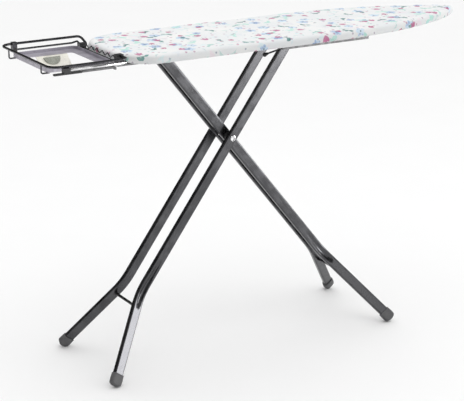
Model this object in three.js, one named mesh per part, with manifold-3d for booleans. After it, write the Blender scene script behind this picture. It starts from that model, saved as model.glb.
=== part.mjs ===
// Folding ironing board: a covered steel top on two crossed pairs of splayed legs, with a wire iron rest
// at its square end. Millimetres, +Z up. +X runs from the iron rest to the pointed nose, and -Y is the
// near side. Sizes along X are measured from the scissor pivot, and the whole is centred at the end.
import * as THREE from 'three';
import { mergeVertices } from 'three/addons/utils/BufferGeometryUtils.js';
import Module from 'manifold-3d';

const wasm = await Module();
wasm.setup();

// Driving dimensions ---------------------------------------------------------------------------------
const GAP = 0.3;                // between pieces that touch
const TOP_HEIGHT = 930.4;       // ironing surface above the floor
const BOARD_LENGTH = 1219;
const BOARD_WIDTH = 334;
const TAIL_X = -385.5;          // square end of the board
const TAIL_CORNER = 112;        // plan radius of the two tail corners
const TAPER_START = 653;        // from the tail to where the sides start to close
const TAPER_POWER = 2.13;
const TAPER_ROUND = 0.82;
const PLAN_CORNER_STEPS = 8;
const PLAN_NOSE_STEPS = 16;
const SKIRT_HEIGHT = 24.4;      // the cover's skirt
const COVER_WALL = 2.7;
const PAD_THICKNESS = 5.8;
const MESH_THICKNESS = 2;
const RIM_HEIGHT = 11.7;
const RIM_WIDTH = 12;
const STRUT_WIDTH = 15;

const PIVOT_Z = 632.6;          // scissor pivot above the floor
const TOP_PIVOT_Z = 886;        // hinge pin and slide rod above the floor
const OUTER_FOOT_X = -460.6;    // where each pair of legs meets the floor
const INNER_FOOT_X = 511;
const OUTER_HALF = 50;          // half the distance between the tubes of a pair
const INNER_HALF = 22;
const OUTER_FOOT_HALF = 177.8;
const INNER_FOOT_HALF = 175.9;
const OUTER_BEND_Z = 212;       // height where the legs splay
const INNER_BEND_Z = 217;
const OUTER_BEND_RADIUS = 150;
const INNER_BEND_RADIUS = 130;
const TUBE_DEPTH = 30;
const TUBE_WIDTH = 15;
const TUBE_WALL = 1.4;
const TUBE_CORNER = 4;
const TUBE_END = 8;             // how far a tube runs past its top pivot
const PLUG_LID = 1.8;
const SHOE_LENGTH = 34;         // rubber shoes: a sleeve with an arched end, worn flat where it stands
const SHOE_WALL = 2.8;
const SHOE_ARCH = 26;
const SHOE_SOLE = 7;            // rubber past the end of the tube
const SHOE_FLAT = 2.5;          // depth taken off the arch by the floor
const OUTER_BAR_Z = 181;        // cross bars near the feet
const INNER_BAR_Z = 154;
const BAR_RADIUS = 4.2;
const BAR_IN_TUBE = 1.5;        // past the wall it enters
const RIVET_RADIUS = 5;
const RIVET_HEAD = 9;
const RIVET_HEAD_THICKNESS = 3;
const SPACER_RADIUS = 13;
const PIN_RADIUS = 4;           // hinge pin, slide rod and their bores
const BORE = 0.5;               // added to a radius where something turns
const PAST = 10;                // how far a cutting tool runs past what it cuts

const RAIL_START = 158;         // under-board slide rails: C-sections open towards the middle
const RAIL_END = 462;
const RAIL_INNER_Y = 59.5;
const RAIL_OUTER_Y = 72;
const RAIL_WALL = 2;
const RAIL_ROOM = 7.6;          // above and below the middle of the slot
const GLIDE_RADIUS = 5.4;
const RACK = { y0: -12, y1: -1, depth: 5.2, pitch: 19, tooth: 3, from: 0.45, to: 0.75 };
const STRUTS = { tail: -318, rack_tail: 138, rack_nose: 450, nose: 640 };
const TAIL_STRUT_CUT = 22;      // the tail strut is shorter, inside the rounded corners
const BRACKET = { half: 14, drop: 10, cheek: 3, foot: 20, clear: 2, pinEnd: 6 };
const SLEEVE_RADIUS = 7.5;

const LEVER = {                 // places from the slide rod's middle, as [x, z]
  y: -24, radius: 2.6, bend: 8, start: [-4.4, -7.2], elbow: [-11, -19.5], knob: [-57, -29],
  knobRadius: 6.6, knobDepth: 3, hub: 7, hubEnd: -30,
  tooth: [[-2.5, 4], [2.5, 4], [2.5, 9.6], [0, 9.6]], toothY: [-11.5, -1.5],
  spring: 6.6, springY: [0.6, 11],
};

const REST = {                  // iron rest: an open wire rail whose two ends turn in to blocks by the board
  z: 931.6, left: -613, half: 165, radius: 3.5, corner: 30, steps: 7,
};
const REST_ENDS = {             // corners of the turned-in ends, as [x, y outwards, z], and their bend
  near: { corners: [[-388, 165, 931.6], [-388, 112, 929]], bend: 19 },
  far: { corners: [[-370, 165, 931.6], [-360.5, 141, 911], [-387, 117, 911]], bend: 15 },
};
const BLOCK = {                 // the two blocks by the board's corners
  x0: -399, x1: -379, nearY: [103, 122], nearZ: [906, 934], farY: [106, 124], farZ: [906, 923],
};
const GUARD = {                 // the thinner wire under the rail's far side
  z: 914.5, radius: 2.7, start: -571, kink: -396, peak: [-383, 158, 919.5], end: [-391, 119, 918], bend: 3,
};
const END_BAR = { x: -391, z: 911.4, radius: 2.4 };
const LATTICE = { radius: 1.6, bend: 3, halfWaves: 12, reach: 99, top: 928.6 };
const TRAY = {
  left: -600, right: -406, half: 118, bandX: 30, bandY: 40,
  floor: 908, sheet: 2, lip: 10, corner: 16, holeCorner: 8,
};
const HOOK = { y: 105, radius: 2.2, bend: 5, grip: 10 };
const STRAP = { x0: -398, x1: -311, y0: 107, y1: 121, thick: 3.9 };
const TUBE = { y: -165, z: 922, radius: 5.5, wall: 1.2, x0: -562, x1: -402 };
const TUBE_ARM = {
  corners: [[-401.5, -165, 922], [-388, -165, 922], [-388, -113, 917]], radius: 2.8, bend: 12,
};
const CLAMP_FAR = { x0: -579, x1: -565, half: 7, z0: 909, z1: 936.4 };
const CLAMP_NEAR = { x0: -579, x1: -559, y0: -172.5, y1: -157.5, z0: 915.2, z1: 927.6 };
const RUNNER = { x0: -606, x1: -524, half: 5.5, z0: 910.4, z1: 914.9, corner: 3 };
const SLIDE_BAR = { x0: -523.4, x1: -426, half: 4, z0: 910.6, z1: 915.4, stop: 5, stopHalf: 6, drop: 3 };
const HEEL = { x0: -546, x1: -452, slope: 42, run: 46, sheet: 2, lap: 14 };
const PAD = { x: -502, radius: 25, down: 7, thick: 2.4, lift: 0.5 };

const RIM_TOP = TOP_HEIGHT - COVER_WALL - PAD_THICKNESS - MESH_THICKNESS - 3 * GAP;
const RIM_BOTTOM = RIM_TOP - RIM_HEIGHT;
const SKIRT_BOTTOM = TOP_HEIGHT - SKIRT_HEIGHT;
const UNDER = RIM_BOTTOM - GAP; // what hangs from the frame starts here

// The two leg directions, up from the pivot, as [x, z].
const outerUp = new THREE.Vector2(-OUTER_FOOT_X, PIVOT_Z).normalize();
const innerUp = new THREE.Vector2(-INNER_FOOT_X, PIVOT_Z).normalize();
const topOf = (up) => (TOP_PIVOT_Z - PIVOT_Z) / up.y * up.x;
const SLIDE_X = topOf(outerUp);
const HINGE_X = topOf(innerUp);

// Materials ------------------------------------------------------------------------------------------
const LOOKS = {
  cover: [0xe9ecee, 0.9, 0],
  felt: [0xd8d4cc, 1, 0],
  steel: [0x9a9b9d, 0.45, 0.8],
  gunmetal: [0x5b5b5e, 0.35, 0.7],
  dark: [0x2b2b2e, 0.4, 0.6],
  chrome: [0xc9cacc, 0.15, 1],
  tray: [0xaca7b4, 0.4, 0.4],
  cream: [0xe6e4d2, 0.6, 0],
  rubber: [0x4c4c50, 0.8, 0],
  plastic: [0x1b1b1d, 0.55, 0],
  pad: [0x8d8f84, 0.8, 0],
};

const board = new THREE.Group();
const outerLeg = new THREE.Group();
const innerLeg = new THREE.Group();
const lever = new THREE.Group();

function addPiece(group, name, look, geometry) {
  const [color, roughness, metalness] = LOOKS[look];
  const mesh = new THREE.Mesh(geometry, new THREE.MeshStandardMaterial({ color, roughness, metalness }));
  mesh.name = name;
  group.add(mesh);
}

// Solids: closed geometries joined and cut -------------------------------------------------------------
function toSolid(geometry) {
  const bare = geometry.clone();
  bare.deleteAttribute('normal');
  bare.deleteAttribute('uv');
  const merged = mergeVertices(bare, 1e-4);
  const vertProperties = Float32Array.from(merged.attributes.position.array);
  const triVerts = Uint32Array.from(merged.index.array);
  return new wasm.Manifold(new wasm.Mesh({ numProp: 3, vertProperties, triVerts }));
}

function toGeometry(solid) {
  const mesh = solid.getMesh();
  const geometry = new THREE.BufferGeometry();
  geometry.setAttribute('position', new THREE.BufferAttribute(Float32Array.from(mesh.vertProperties), 3));
  geometry.setIndex(new THREE.BufferAttribute(Uint32Array.from(mesh.triVerts), 1));
  return geometry;
}

function join(...geometries) {
  return toGeometry(geometries.map(toSolid).reduce((all, one) => all.add(one)));
}

function cut(geometry, ...tools) {
  return toGeometry(tools.map(toSolid).reduce((left, tool) => left.subtract(tool), toSolid(geometry)));
}

// Plain shapes -----------------------------------------------------------------------------------------
function circlePoints(radius, sides) {
  return Array.from({ length: sides }, (_, i) => {
    const angle = (2 * Math.PI * (i + 0.5)) / sides;
    return new THREE.Vector2(radius * Math.cos(angle), radius * Math.sin(angle));
  });
}

function roundedRectPoints(halfX, halfY, radius, steps = 3) {
  const points = [];
  for (let corner = 0; corner < 4; corner += 1) {
    const cx = (corner === 0 || corner === 3 ? 1 : -1) * (halfX - radius);
    const cy = (corner < 2 ? 1 : -1) * (halfY - radius);
    for (let i = 0; i <= steps; i += 1) {
      const angle = (Math.PI / 2) * (corner + i / steps);
      points.push(new THREE.Vector2(cx + radius * Math.cos(angle), cy + radius * Math.sin(angle)));
    }
  }
  return points;
}

const extrude = (points, depth, holes = []) => {
  const shape = new THREE.Shape(points);
  shape.holes = holes.map((hole) => new THREE.Path(hole));
  return new THREE.ExtrudeGeometry(shape, { depth, bevelEnabled: false });
};

// A plan outline stood up between two heights.
const slab = (points, z0, z1, holes) => extrude(points, z1 - z0, holes).translate(0, 0, z0);

// An outline in X and Z, as thick as y0 to y1.
function plateXZ(points, y0, y1) {
  const basis = new THREE.Matrix4().makeBasis(
    new THREE.Vector3(1, 0, 0), new THREE.Vector3(0, 0, 1), new THREE.Vector3(0, -1, 0));
  return extrude(points, y1 - y0).applyMatrix4(basis).translate(0, y1, 0);
}

// A section in Y and Z, as long as x0 to x1.
function barYZ(points, x0, x1, holes) {
  const basis = new THREE.Matrix4().makeBasis(
    new THREE.Vector3(0, 1, 0), new THREE.Vector3(0, 0, 1), new THREE.Vector3(1, 0, 0));
  return extrude(points, x1 - x0, holes).applyMatrix4(basis).translate(x0, 0, 0);
}

function box(x0, x1, y0, y1, z0, z1) {
  const geometry = new THREE.BoxGeometry(x1 - x0, y1 - y0, z1 - z0);
  return geometry.translate((x0 + x1) / 2, (y0 + y1) / 2, (z0 + z1) / 2);
}

function rodY(x, z, radius, y0, y1, sides = 16) {
  return new THREE.CylinderGeometry(radius, radius, y1 - y0, sides).translate(x, (y0 + y1) / 2, z);
}

// A path of straight runs and rounded corners, sampled only where it bends.
class BentPath extends THREE.Curve {
  constructor(corners, radius, arcSteps = 6) {
    super();
    this.points = [corners[0]];
    for (let i = 1; i < corners.length - 1; i += 1) {
      this.points.push(...BentPath.arc(corners[i - 1], corners[i], corners[i + 1], radius, arcSteps));
    }
    this.points.push(corners[corners.length - 1]);
  }

  static arc(before, corner, after, radius, steps) {
    const back = before.clone().sub(corner).normalize();
    const on = after.clone().sub(corner).normalize();
    const half = back.angleTo(on) / 2;
    const reach = radius / Math.tan(half);
    const centre = back.clone().add(on).normalize().multiplyScalar(radius / Math.sin(half)).add(corner);
    const first = back.clone().multiplyScalar(reach).add(corner).sub(centre);
    const axis = new THREE.Vector3().crossVectors(on, back).normalize();
    const turn = Math.PI - 2 * half;
    return Array.from({ length: steps + 1 }, (_, i) =>
      first.clone().applyAxisAngle(axis, (turn * i) / steps).add(centre));
  }

  getUtoTmapping(u) {
    return u;
  }

  getPoint(t, target = new THREE.Vector3()) {
    const place = Math.min(t * (this.points.length - 1), this.points.length - 1);
    const i = Math.min(Math.floor(place), this.points.length - 2);
    return target.lerpVectors(this.points[i], this.points[i + 1], place - i);
  }

  getTangent(t, target = new THREE.Vector3()) {
    const last = this.points.length - 1;
    const i = Math.round(t * last);
    const before = this.points[Math.max(i - 1, 0)];
    const after = this.points[Math.min(i + 1, last)];
    const arriving = this.points[i].clone().sub(before).normalize();
    const leaving = after.clone().sub(this.points[i]).normalize();
    return target.copy(arriving.add(leaving)).normalize();
  }
}

function sweep(path, section, holes = []) {
  const shape = new THREE.Shape(section);
  shape.holes = holes.map((hole) => new THREE.Path(hole));
  return new THREE.ExtrudeGeometry(shape, {
    steps: path.points.length - 1, bevelEnabled: false, extrudePath: path,
  });
}

const SIDES = [['near', -1], ['far', 1]];
const span = (side, a, b) => [Math.min(side * a, side * b), Math.max(side * a, side * b)];
const v3 = (x, y, z) => new THREE.Vector3(x, y, z);
const wire = (corners, radius, bend, sides = 10, arcSteps = 5) =>
  sweep(new BentPath(corners, bend, arcSteps), circlePoints(radius, sides));

// The board's plan ---------------------------------------------------------------------------------------
function halfWidth(x, inset) {
  const length = BOARD_LENGTH - inset;
  const s = Math.max(0, (x - TAIL_X - TAPER_START) / (length - TAPER_START));
  return (BOARD_WIDTH / 2 - inset) * (1 - Math.min(1, s) ** TAPER_POWER) ** TAPER_ROUND;
}

function boardPlan(inset) {
  const side = [];
  const corner = TAIL_CORNER - inset;
  for (let i = 0; i <= PLAN_CORNER_STEPS; i += 1) {
    const angle = (Math.PI / 2) * (i / PLAN_CORNER_STEPS);
    side.push([
      TAIL_X + TAIL_CORNER - corner * Math.cos(angle),
      BOARD_WIDTH / 2 - TAIL_CORNER + corner * Math.sin(angle),
    ]);
  }
  const nose = BOARD_LENGTH - inset - TAPER_START;
  for (let i = 0; i < PLAN_NOSE_STEPS; i += 1) {
    const x = TAIL_X + TAPER_START + nose * Math.sin((Math.PI / 2) * (i / PLAN_NOSE_STEPS));
    side.push([x, halfWidth(x, inset)]);
  }
  const far = side.map(([x, y]) => new THREE.Vector2(x, y));
  const near = side.map(([x, y]) => new THREE.Vector2(x, -y)).reverse();
  const tip = new THREE.Vector2(TAIL_X + BOARD_LENGTH - inset, 0);
  return [...far, tip, ...near].reverse();
}

// The covered top ------------------------------------------------------------------------------------------
function makeTop() {
  const inside = COVER_WALL + GAP;
  const padBottom = RIM_TOP + MESH_THICKNESS + 2 * GAP;
  const coverCeiling = TOP_HEIGHT - COVER_WALL;
  const coverShell = cut(
    slab(boardPlan(0), SKIRT_BOTTOM, TOP_HEIGHT),
    slab(boardPlan(COVER_WALL), SKIRT_BOTTOM - PAST, coverCeiling),
  );
  addPiece(board, 'cover', 'cover', coverShell);
  addPiece(board, 'underlay_pad', 'felt', slab(boardPlan(inside), padBottom, padBottom + PAD_THICKNESS));
  const meshBottom = RIM_TOP + GAP;
  addPiece(board, 'mesh_top', 'steel', slab(boardPlan(inside), meshBottom, meshBottom + MESH_THICKNESS));
  addPiece(board, 'rim_frame', 'steel',
    slab(boardPlan(inside), RIM_BOTTOM, RIM_TOP, [boardPlan(inside + RIM_WIDTH)]));
}

function makeStruts() {
  Object.entries({ ...STRUTS, hinge: HINGE_X }).forEach(([place, x]) => {
    const ends = [x - STRUT_WIDTH / 2, x + STRUT_WIDTH / 2];
    const inside = COVER_WALL + GAP + RIM_WIDTH;
    const corner = place === 'tail' ? TAIL_STRUT_CUT : 0;
    const half = Math.min(...ends.map((end) => halfWidth(end, inside))) - GAP - corner;
    addPiece(board, `cross_strut_${place}`, 'steel', box(...ends, -half, half, RIM_BOTTOM, RIM_TOP));
  });
}

function makeSlideRails() {
  const t = RAIL_WALL;
  const [inner, outer] = [RAIL_INNER_Y, RAIL_OUTER_Y];
  const [floor, roof] = [TOP_PIVOT_Z - RAIL_ROOM, TOP_PIVOT_Z + RAIL_ROOM];
  SIDES.forEach(([name, side]) => {
    const section = [
      [inner, floor - t], [outer, floor - t], [outer, UNDER], [inner, UNDER],
      [inner, UNDER - t], [outer - t, UNDER - t], [outer - t, roof + t], [inner, roof + t],
      [inner, roof], [outer - t, roof], [outer - t, floor], [inner, floor],
    ].map(([y, z]) => new THREE.Vector2(side * y, z));
    if (side < 0) section.reverse();
    addPiece(board, `slide_rail_${name}`, 'steel', barYZ(section, RAIL_START, RAIL_END));
  });
}

// The notched bar that sets the working heights, teeth down.
function makeRack() {
  const root = UNDER - RACK.depth;
  const tip = root - RACK.tooth;
  const teeth = Math.floor((RAIL_END - RAIL_START) / RACK.pitch);
  const profile = [[RAIL_START, UNDER], [RAIL_START, root]];
  for (let i = 0; i < teeth; i += 1) {
    const x = RAIL_START + i * RACK.pitch;
    profile.push([x + RACK.from * RACK.pitch, root], [x + RACK.from * RACK.pitch, tip]);
    profile.push([x + RACK.to * RACK.pitch, tip], [x + RACK.pitch, root]);
  }
  if (RAIL_START + teeth * RACK.pitch < RAIL_END) profile.push([RAIL_END, root]);
  profile.push([RAIL_END, UNDER]);
  const outline = profile.map(([x, z]) => new THREE.Vector2(x, z));
  addPiece(board, 'height_rack', 'steel', plateXZ(outline, RACK.y0, RACK.y1));
}

// Brackets and pin that the inner legs hang from.
function makeLegHinge() {
  const inner = INNER_HALF + TUBE_WIDTH / 2 + BRACKET.clear;
  const reach = inner + BRACKET.foot;
  const bore = rodY(HINGE_X, TOP_PIVOT_Z, PIN_RADIUS + BORE / 2, -reach, reach);
  const x = [HINGE_X - BRACKET.half, HINGE_X + BRACKET.half];
  SIDES.forEach(([name, side]) => {
    const cheek = box(...x, ...span(side, inner, inner + BRACKET.cheek), TOP_PIVOT_Z - BRACKET.drop, UNDER);
    const foot = box(...x, ...span(side, inner, reach), UNDER - BRACKET.cheek, UNDER);
    addPiece(board, `hinge_bracket_${name}`, 'steel', cut(join(cheek, foot), bore));
  });
  const end = inner + BRACKET.pinEnd;
  addPiece(board, 'hinge_pin', 'chrome', rodY(HINGE_X, TOP_PIVOT_Z, PIN_RADIUS, -end, end, 14));
}

// Legs ---------------------------------------------------------------------------------------------------
// One leg runs from just past its top pivot, straight down in the plane of its pair, then splays outward.
// The distances along the splayed run are counted from where its centreline would meet the floor.
function makeLeg(spec, side) {
  const { up, half, footHalf, footX, bendZ, bendRadius } = spec;
  const top = v3(topOf(up) + up.x * TUBE_END, side * half, TOP_PIVOT_Z + up.y * TUBE_END);
  const bend = v3((bendZ - PIVOT_Z) / up.y * up.x, side * half, bendZ);
  const foot = v3(footX, side * footHalf, 0);
  const down = foot.clone().sub(bend).normalize();
  const deep = v3(up.y, 0, -up.x);
  const across = new THREE.Vector3().crossVectors(down, deep).normalize();
  const archDrop = SHOE_ARCH * Math.hypot(down.z, deep.z);
  const edgeDrop = (TUBE_WIDTH / 2 + SHOE_WALL) * Math.abs(across.z);
  const archCentre = (archDrop + edgeDrop - SHOE_FLAT) / down.z;
  const tip = archCentre + SHOE_ARCH;
  const at = (distance) => foot.clone().addScaledVector(down, distance);
  const path = new BentPath([top, bend, at(tip - SHOE_SOLE)], bendRadius, 7);
  return { path, at, tip, archCentre, down, deep, across };
}

const tubeSection = (grow = 0) =>
  roundedRectPoints(TUBE_WIDTH / 2 + grow, TUBE_DEPTH / 2 + grow, TUBE_CORNER + grow);

function straightSweep(start, end, section) {
  return sweep(new BentPath([start, end], 0, 1), section);
}

// A rubber shoe: a sleeve along the splayed end, arched across its depth and cut flat by the floor.
function footShoe(leg) {
  const width = 2 * TUBE_DEPTH;
  const drum = new THREE.CylinderGeometry(SHOE_ARCH, SHOE_ARCH, width, 72);
  const height = SHOE_LENGTH + PAST;
  const block = new THREE.BoxGeometry(2 * SHOE_ARCH + 2, width, height).translate(0, 0, -height / 2);
  const placed = new THREE.Matrix4()
    .makeBasis(leg.deep, leg.down.clone().cross(leg.deep), leg.down)
    .setPosition(leg.at(leg.archCentre));
  const reach = toSolid(drum).add(toSolid(block)).transform(placed.toArray());
  const aboveFloor = toSolid(box(-BOARD_LENGTH, BOARD_LENGTH, -BOARD_WIDTH, BOARD_WIDTH, 0, OUTER_BEND_Z));
  const top = leg.tip - SHOE_LENGTH;
  const outside = toSolid(straightSweep(leg.at(top), leg.at(leg.tip), tubeSection(SHOE_WALL)));
  const socket = toSolid(
    straightSweep(leg.at(top - PAST), leg.at(leg.tip - SHOE_SOLE + GAP), tubeSection(GAP)));
  return toGeometry(outside.intersect(reach).intersect(aboveFloor).subtract(socket));
}

function makeLegPair(group, pair, spec) {
  const { up, half, footHalf, bendZ, barZ } = spec;
  const barX = (barZ - PIVOT_Z) / up.y * up.x;
  const barY = half + (footHalf - half) * (bendZ - barZ) / bendZ;
  SIDES.forEach(([name, side]) => {
    const leg = makeLeg(spec, side);
    const tube = sweep(leg.path, tubeSection(), [tubeSection(-TUBE_WALL)]);
    const through = span(side, TUBE_WALL, half + TUBE_WIDTH);
    addPiece(group, `${pair}_leg_tube_${name}`, 'gunmetal', cut(
      tube,
      rodY(topOf(up), TOP_PIVOT_Z, PIN_RADIUS + spec.bore, ...through),
      rodY(0, PIVOT_Z, RIVET_RADIUS + spec.bore, ...through),
      rodY(barX, barZ, BAR_RADIUS + GAP, ...span(side, 0, barY)),
    ));
    addPiece(group, `${pair}_foot_${name}`, 'rubber', footShoe(leg));
    addPiece(group, `${pair}_leg_plug_${name}`, 'plastic', tubePlug(up, half * side));
  });
  const barEnd = barY - TUBE_WIDTH / 2 + TUBE_WALL + BAR_IN_TUBE;
  addPiece(group, `${pair}_leg_crossbar`, 'dark', rodY(barX, barZ, BAR_RADIUS, -barEnd, barEnd, 16));
}

// The plastic plug in the open top of a tube.
function tubePlug(up, y) {
  const along = v3(up.x, 0, up.y);
  const tubeTop = v3(topOf(up), y, TOP_PIVOT_Z).addScaledVector(along, TUBE_END);
  const start = tubeTop.clone().addScaledVector(along, GAP);
  return straightSweep(start, start.clone().addScaledVector(along, PLUG_LID), tubeSection(-GAP));
}

function makePivot() {
  const inner = INNER_HALF - TUBE_WIDTH / 2;
  const middle = [INNER_HALF + TUBE_WIDTH / 2 + GAP, OUTER_HALF - TUBE_WIDTH / 2 - GAP];
  const outer = OUTER_HALF + TUBE_WIDTH / 2;
  SIDES.forEach(([name, side]) => {
    const rod = (radius, a, b, sides) => rodY(0, PIVOT_Z, radius, ...span(side, a, b), sides);
    const head = RIVET_HEAD_THICKNESS;
    addPiece(outerLeg, `pivot_rivet_${name}`, 'chrome', join(
      rod(RIVET_RADIUS, inner - head / 2, outer + head / 2, 14),
      rod(RIVET_HEAD, inner - head, inner - GAP, 20),
      rod(RIVET_HEAD, outer + GAP, outer + head, 20),
    ));
    addPiece(outerLeg, `pivot_spacer_${name}`, 'plastic', cut(
      rod(SPACER_RADIUS, ...middle, 24),
      rod(RIVET_RADIUS + BORE / 2, 0, outer, 18),
    ));
  });
}

function makeSlide() {
  const end = RAIL_OUTER_Y - RAIL_WALL - 2 * GAP;
  addPiece(outerLeg, 'slide_rod', 'chrome', rodY(SLIDE_X, TOP_PIVOT_Z, PIN_RADIUS, -end, end, 14));
  SIDES.forEach(([name, side]) => {
    const glide = rodY(SLIDE_X, TOP_PIVOT_Z, GLIDE_RADIUS, ...span(side, RAIL_INNER_Y + 1, end), 20);
    const length = span(side, RAIL_INNER_Y - PAST, end + PAST);
    const bore = rodY(SLIDE_X, TOP_PIVOT_Z, PIN_RADIUS + GAP, ...length, 14);
    addPiece(outerLeg, `slide_glide_${name}`, 'plastic', cut(glide, bore));
  });
  const half = INNER_HALF - TUBE_WIDTH / 2 - BORE;
  addPiece(innerLeg, 'hinge_sleeve', 'dark', cut(
    rodY(HINGE_X, TOP_PIVOT_Z, SLEEVE_RADIUS, -half, half, 20),
    rodY(HINGE_X, TOP_PIVOT_Z, PIN_RADIUS + BORE, -half - PAST, half + PAST, 16),
  ));
}

// Release lever: a pawl that turns on the slide rod, a bent wire and a round knob -------------------------
function makeLever() {
  const place = ([x, z]) => v3(SLIDE_X + x, LEVER.y, TOP_PIVOT_Z + z);
  const around = (radius, y0, y1, sides) => rodY(SLIDE_X, TOP_PIVOT_Z, radius, y0, y1, sides);
  const bore = around(PIN_RADIUS + BORE, LEVER.hubEnd - PAST, LEVER.springY[1] + PAST, 16);
  const tooth = LEVER.tooth.map(([x, z]) => new THREE.Vector2(SLIDE_X + x, TOP_PIVOT_Z + z));
  addPiece(lever, 'latch_pawl', 'steel',
    cut(join(around(LEVER.hub, LEVER.hubEnd, 0, 20), plateXZ(tooth, ...LEVER.toothY)), bore));
  const knob = place(LEVER.knob);
  const elbow = place(LEVER.elbow);
  const along = knob.clone().sub(elbow).normalize();
  const wireEnd = knob.clone().addScaledVector(along, -LEVER.knobDepth);
  const path = [place(LEVER.start), elbow, wireEnd];
  addPiece(lever, 'release_lever', 'dark', wire(path, LEVER.radius, LEVER.bend, 10, 4));
  const ball = new THREE.SphereGeometry(LEVER.knobRadius, 16, 12).translate(knob.x, knob.y, knob.z);
  const socketEnd = wireEnd.clone().addScaledVector(along, GAP);
  addPiece(lever, 'lever_knob', 'plastic', cut(ball, wire([elbow, socketEnd], LEVER.radius + GAP, 0, 12, 1)));
  addPiece(lever, 'lever_spring', 'steel', cut(around(LEVER.spring, ...LEVER.springY, 18), bore));
}

// Iron rest --------------------------------------------------------------------------------------------
const onSide = (side, corners) => corners.map(([x, y, z]) => v3(x, side * y, z));

// The rail runs from the far block round the far side, the end and the near side to the near block.
function makeRestRail() {
  const { z, left, half, radius, corner, steps } = REST;
  const middle = (left + BLOCK.x0) / 2;
  const outerEnd = wire([
    v3(middle, -half, z), v3(left, -half, z), v3(left, half, z), v3(middle, half, z),
  ], radius, corner, 10, steps);
  const turnedIn = SIDES.map(([name, side]) => {
    const { corners, bend } = REST_ENDS[name];
    return wire([v3(middle, side * half, z), ...onSide(side, corners)], radius, bend, 10, steps);
  });
  const overlap = 2;
  const joints = SIDES.map(([, side]) => wire([
    v3(middle - overlap, side * half, z), v3(middle + overlap, side * half, z),
  ], radius + GAP / 2, 0, 10, 1));
  addPiece(board, 'rest_rail', 'dark', join(outerEnd, ...turnedIn, ...joints));
}

// A thinner wire under the rail's far side, and a bar with a zigzag on it along the board's end.
function guardWire(radius) {
  return wire([
    v3(GUARD.start, REST.half, GUARD.z), v3(GUARD.kink, REST.half, GUARD.z),
    v3(...GUARD.peak), v3(...GUARD.end),
  ], radius, GUARD.bend, 8, 3);
}

function makeRestWires() {
  addPiece(board, 'rest_guard_wire', 'dark', guardWire(GUARD.radius));
  const { x, z, radius } = END_BAR;
  const ends = [BLOCK.farY[0] - GAP, GAP - BLOCK.nearY[0]];
  addPiece(board, 'rest_end_bar', 'dark', wire(ends.map((y) => v3(x, y, z)), radius, 0, 8, 1));
  const low = z + radius + GAP + LATTICE.radius;
  const high = LATTICE.top - LATTICE.radius;
  const zigzag = Array.from({ length: LATTICE.halfWaves + 1 }, (_, i) =>
    v3(x, LATTICE.reach * (1 - (2 * i) / LATTICE.halfWaves), i % 2 ? high : low));
  addPiece(board, 'rest_lattice', 'dark', wire(zigzag, LATTICE.radius, LATTICE.bend, 6, 2));
}

const tubeArm = (radius) =>
  wire(TUBE_ARM.corners.map((corner) => v3(...corner)), radius, TUBE_ARM.bend, 10, 4);

// The blocks hold the ends of the rail, the guard wire and the tube's arm in bores.
function makeEndBlocks() {
  const held = { near: tubeArm(TUBE_ARM.radius + GAP), far: guardWire(GUARD.radius + GAP) };
  SIDES.forEach(([name, side]) => {
    const { corners, bend } = REST_ENDS[name];
    const railEnd = wire([v3(TRAY.right, side * REST.half, REST.z), ...onSide(side, corners)],
      REST.radius + GAP, bend, 12, REST.steps);
    const [z0, z1] = BLOCK[`${name}Z`];
    const block = box(BLOCK.x0, BLOCK.x1, ...span(side, ...BLOCK[`${name}Y`]), z0, z1);
    addPiece(board, `rest_end_block_${name}`, 'plastic', cut(block, railEnd, held[name]));
    const strapTop = SKIRT_BOTTOM - GAP;
    addPiece(board, `rest_strap_${name}`, 'steel',
      box(STRAP.x0, STRAP.x1, ...span(side, STRAP.y0, STRAP.y1), strapTop - STRAP.thick, strapTop));
  });
}

function makeTray() {
  const { left, right, half, bandX, bandY, floor, sheet, lip, corner, holeCorner } = TRAY;
  const cx = (left + right) / 2;
  const ring = (insetX, insetY, radius) =>
    roundedRectPoints((right - left) / 2 - insetX, half - insetY, radius)
      .map((p) => new THREE.Vector2(p.x + cx, p.y));
  addPiece(board, 'rest_tray', 'tray', join(
    slab(ring(0, 0, corner), floor, floor + sheet, [ring(bandX, bandY, holeCorner)]),
    slab(ring(0, 0, corner), floor + sheet / 2, floor + lip, [ring(sheet, sheet, corner - sheet)]),
  ));
  SIDES.forEach(([name, side]) => {
    const y = side * HOOK.y;
    const low = floor - HOOK.radius - GAP;
    addPiece(board, `rest_hook_${name}`, 'dark', wire([
      v3(REST.left, y, REST.z - REST.radius - GAP), v3(REST.left, y, low), v3(left + HOOK.grip, y, low),
    ], HOOK.radius, HOOK.bend, 8, 4));
  });
}

// The sloping heel plate hangs from the tray's far band, with a half-round pad on it.
function makeHeelPlate() {
  const edge = TRAY.half - TRAY.bandY;
  const slope = THREE.MathUtils.degToRad(HEEL.slope);
  const [down, out] = [Math.sin(slope), Math.cos(slope)];
  const t = HEEL.sheet;
  const top = TRAY.floor - GAP;
  const foot = [edge - HEEL.run * out, top - HEEL.run * down];
  const section = [
    [edge + HEEL.lap, top], [edge, top], foot, [foot[0] + t * down, foot[1] - t * out],
    [edge + t * Math.tan(slope / 2), top - t], [edge + HEEL.lap, top - t],
  ].map(([y, z]) => new THREE.Vector2(y, z));
  addPiece(board, 'heel_plate', 'cream', barYZ(section, HEEL.x0, HEEL.x1));
  const steps = 16;
  const halfRound = Array.from({ length: steps + 1 }, (_, i) => {
    const angle = Math.PI * (1 + i / steps);
    return new THREE.Vector2(PAD.radius * Math.cos(angle), PAD.radius * Math.sin(angle));
  });
  addPiece(board, 'heel_pad', 'pad', extrude(halfRound, PAD.thick).rotateX(slope)
    .translate(PAD.x, edge - PAD.down * out - PAD.lift * down, top - PAD.down * down + PAD.lift * out));
}

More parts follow.
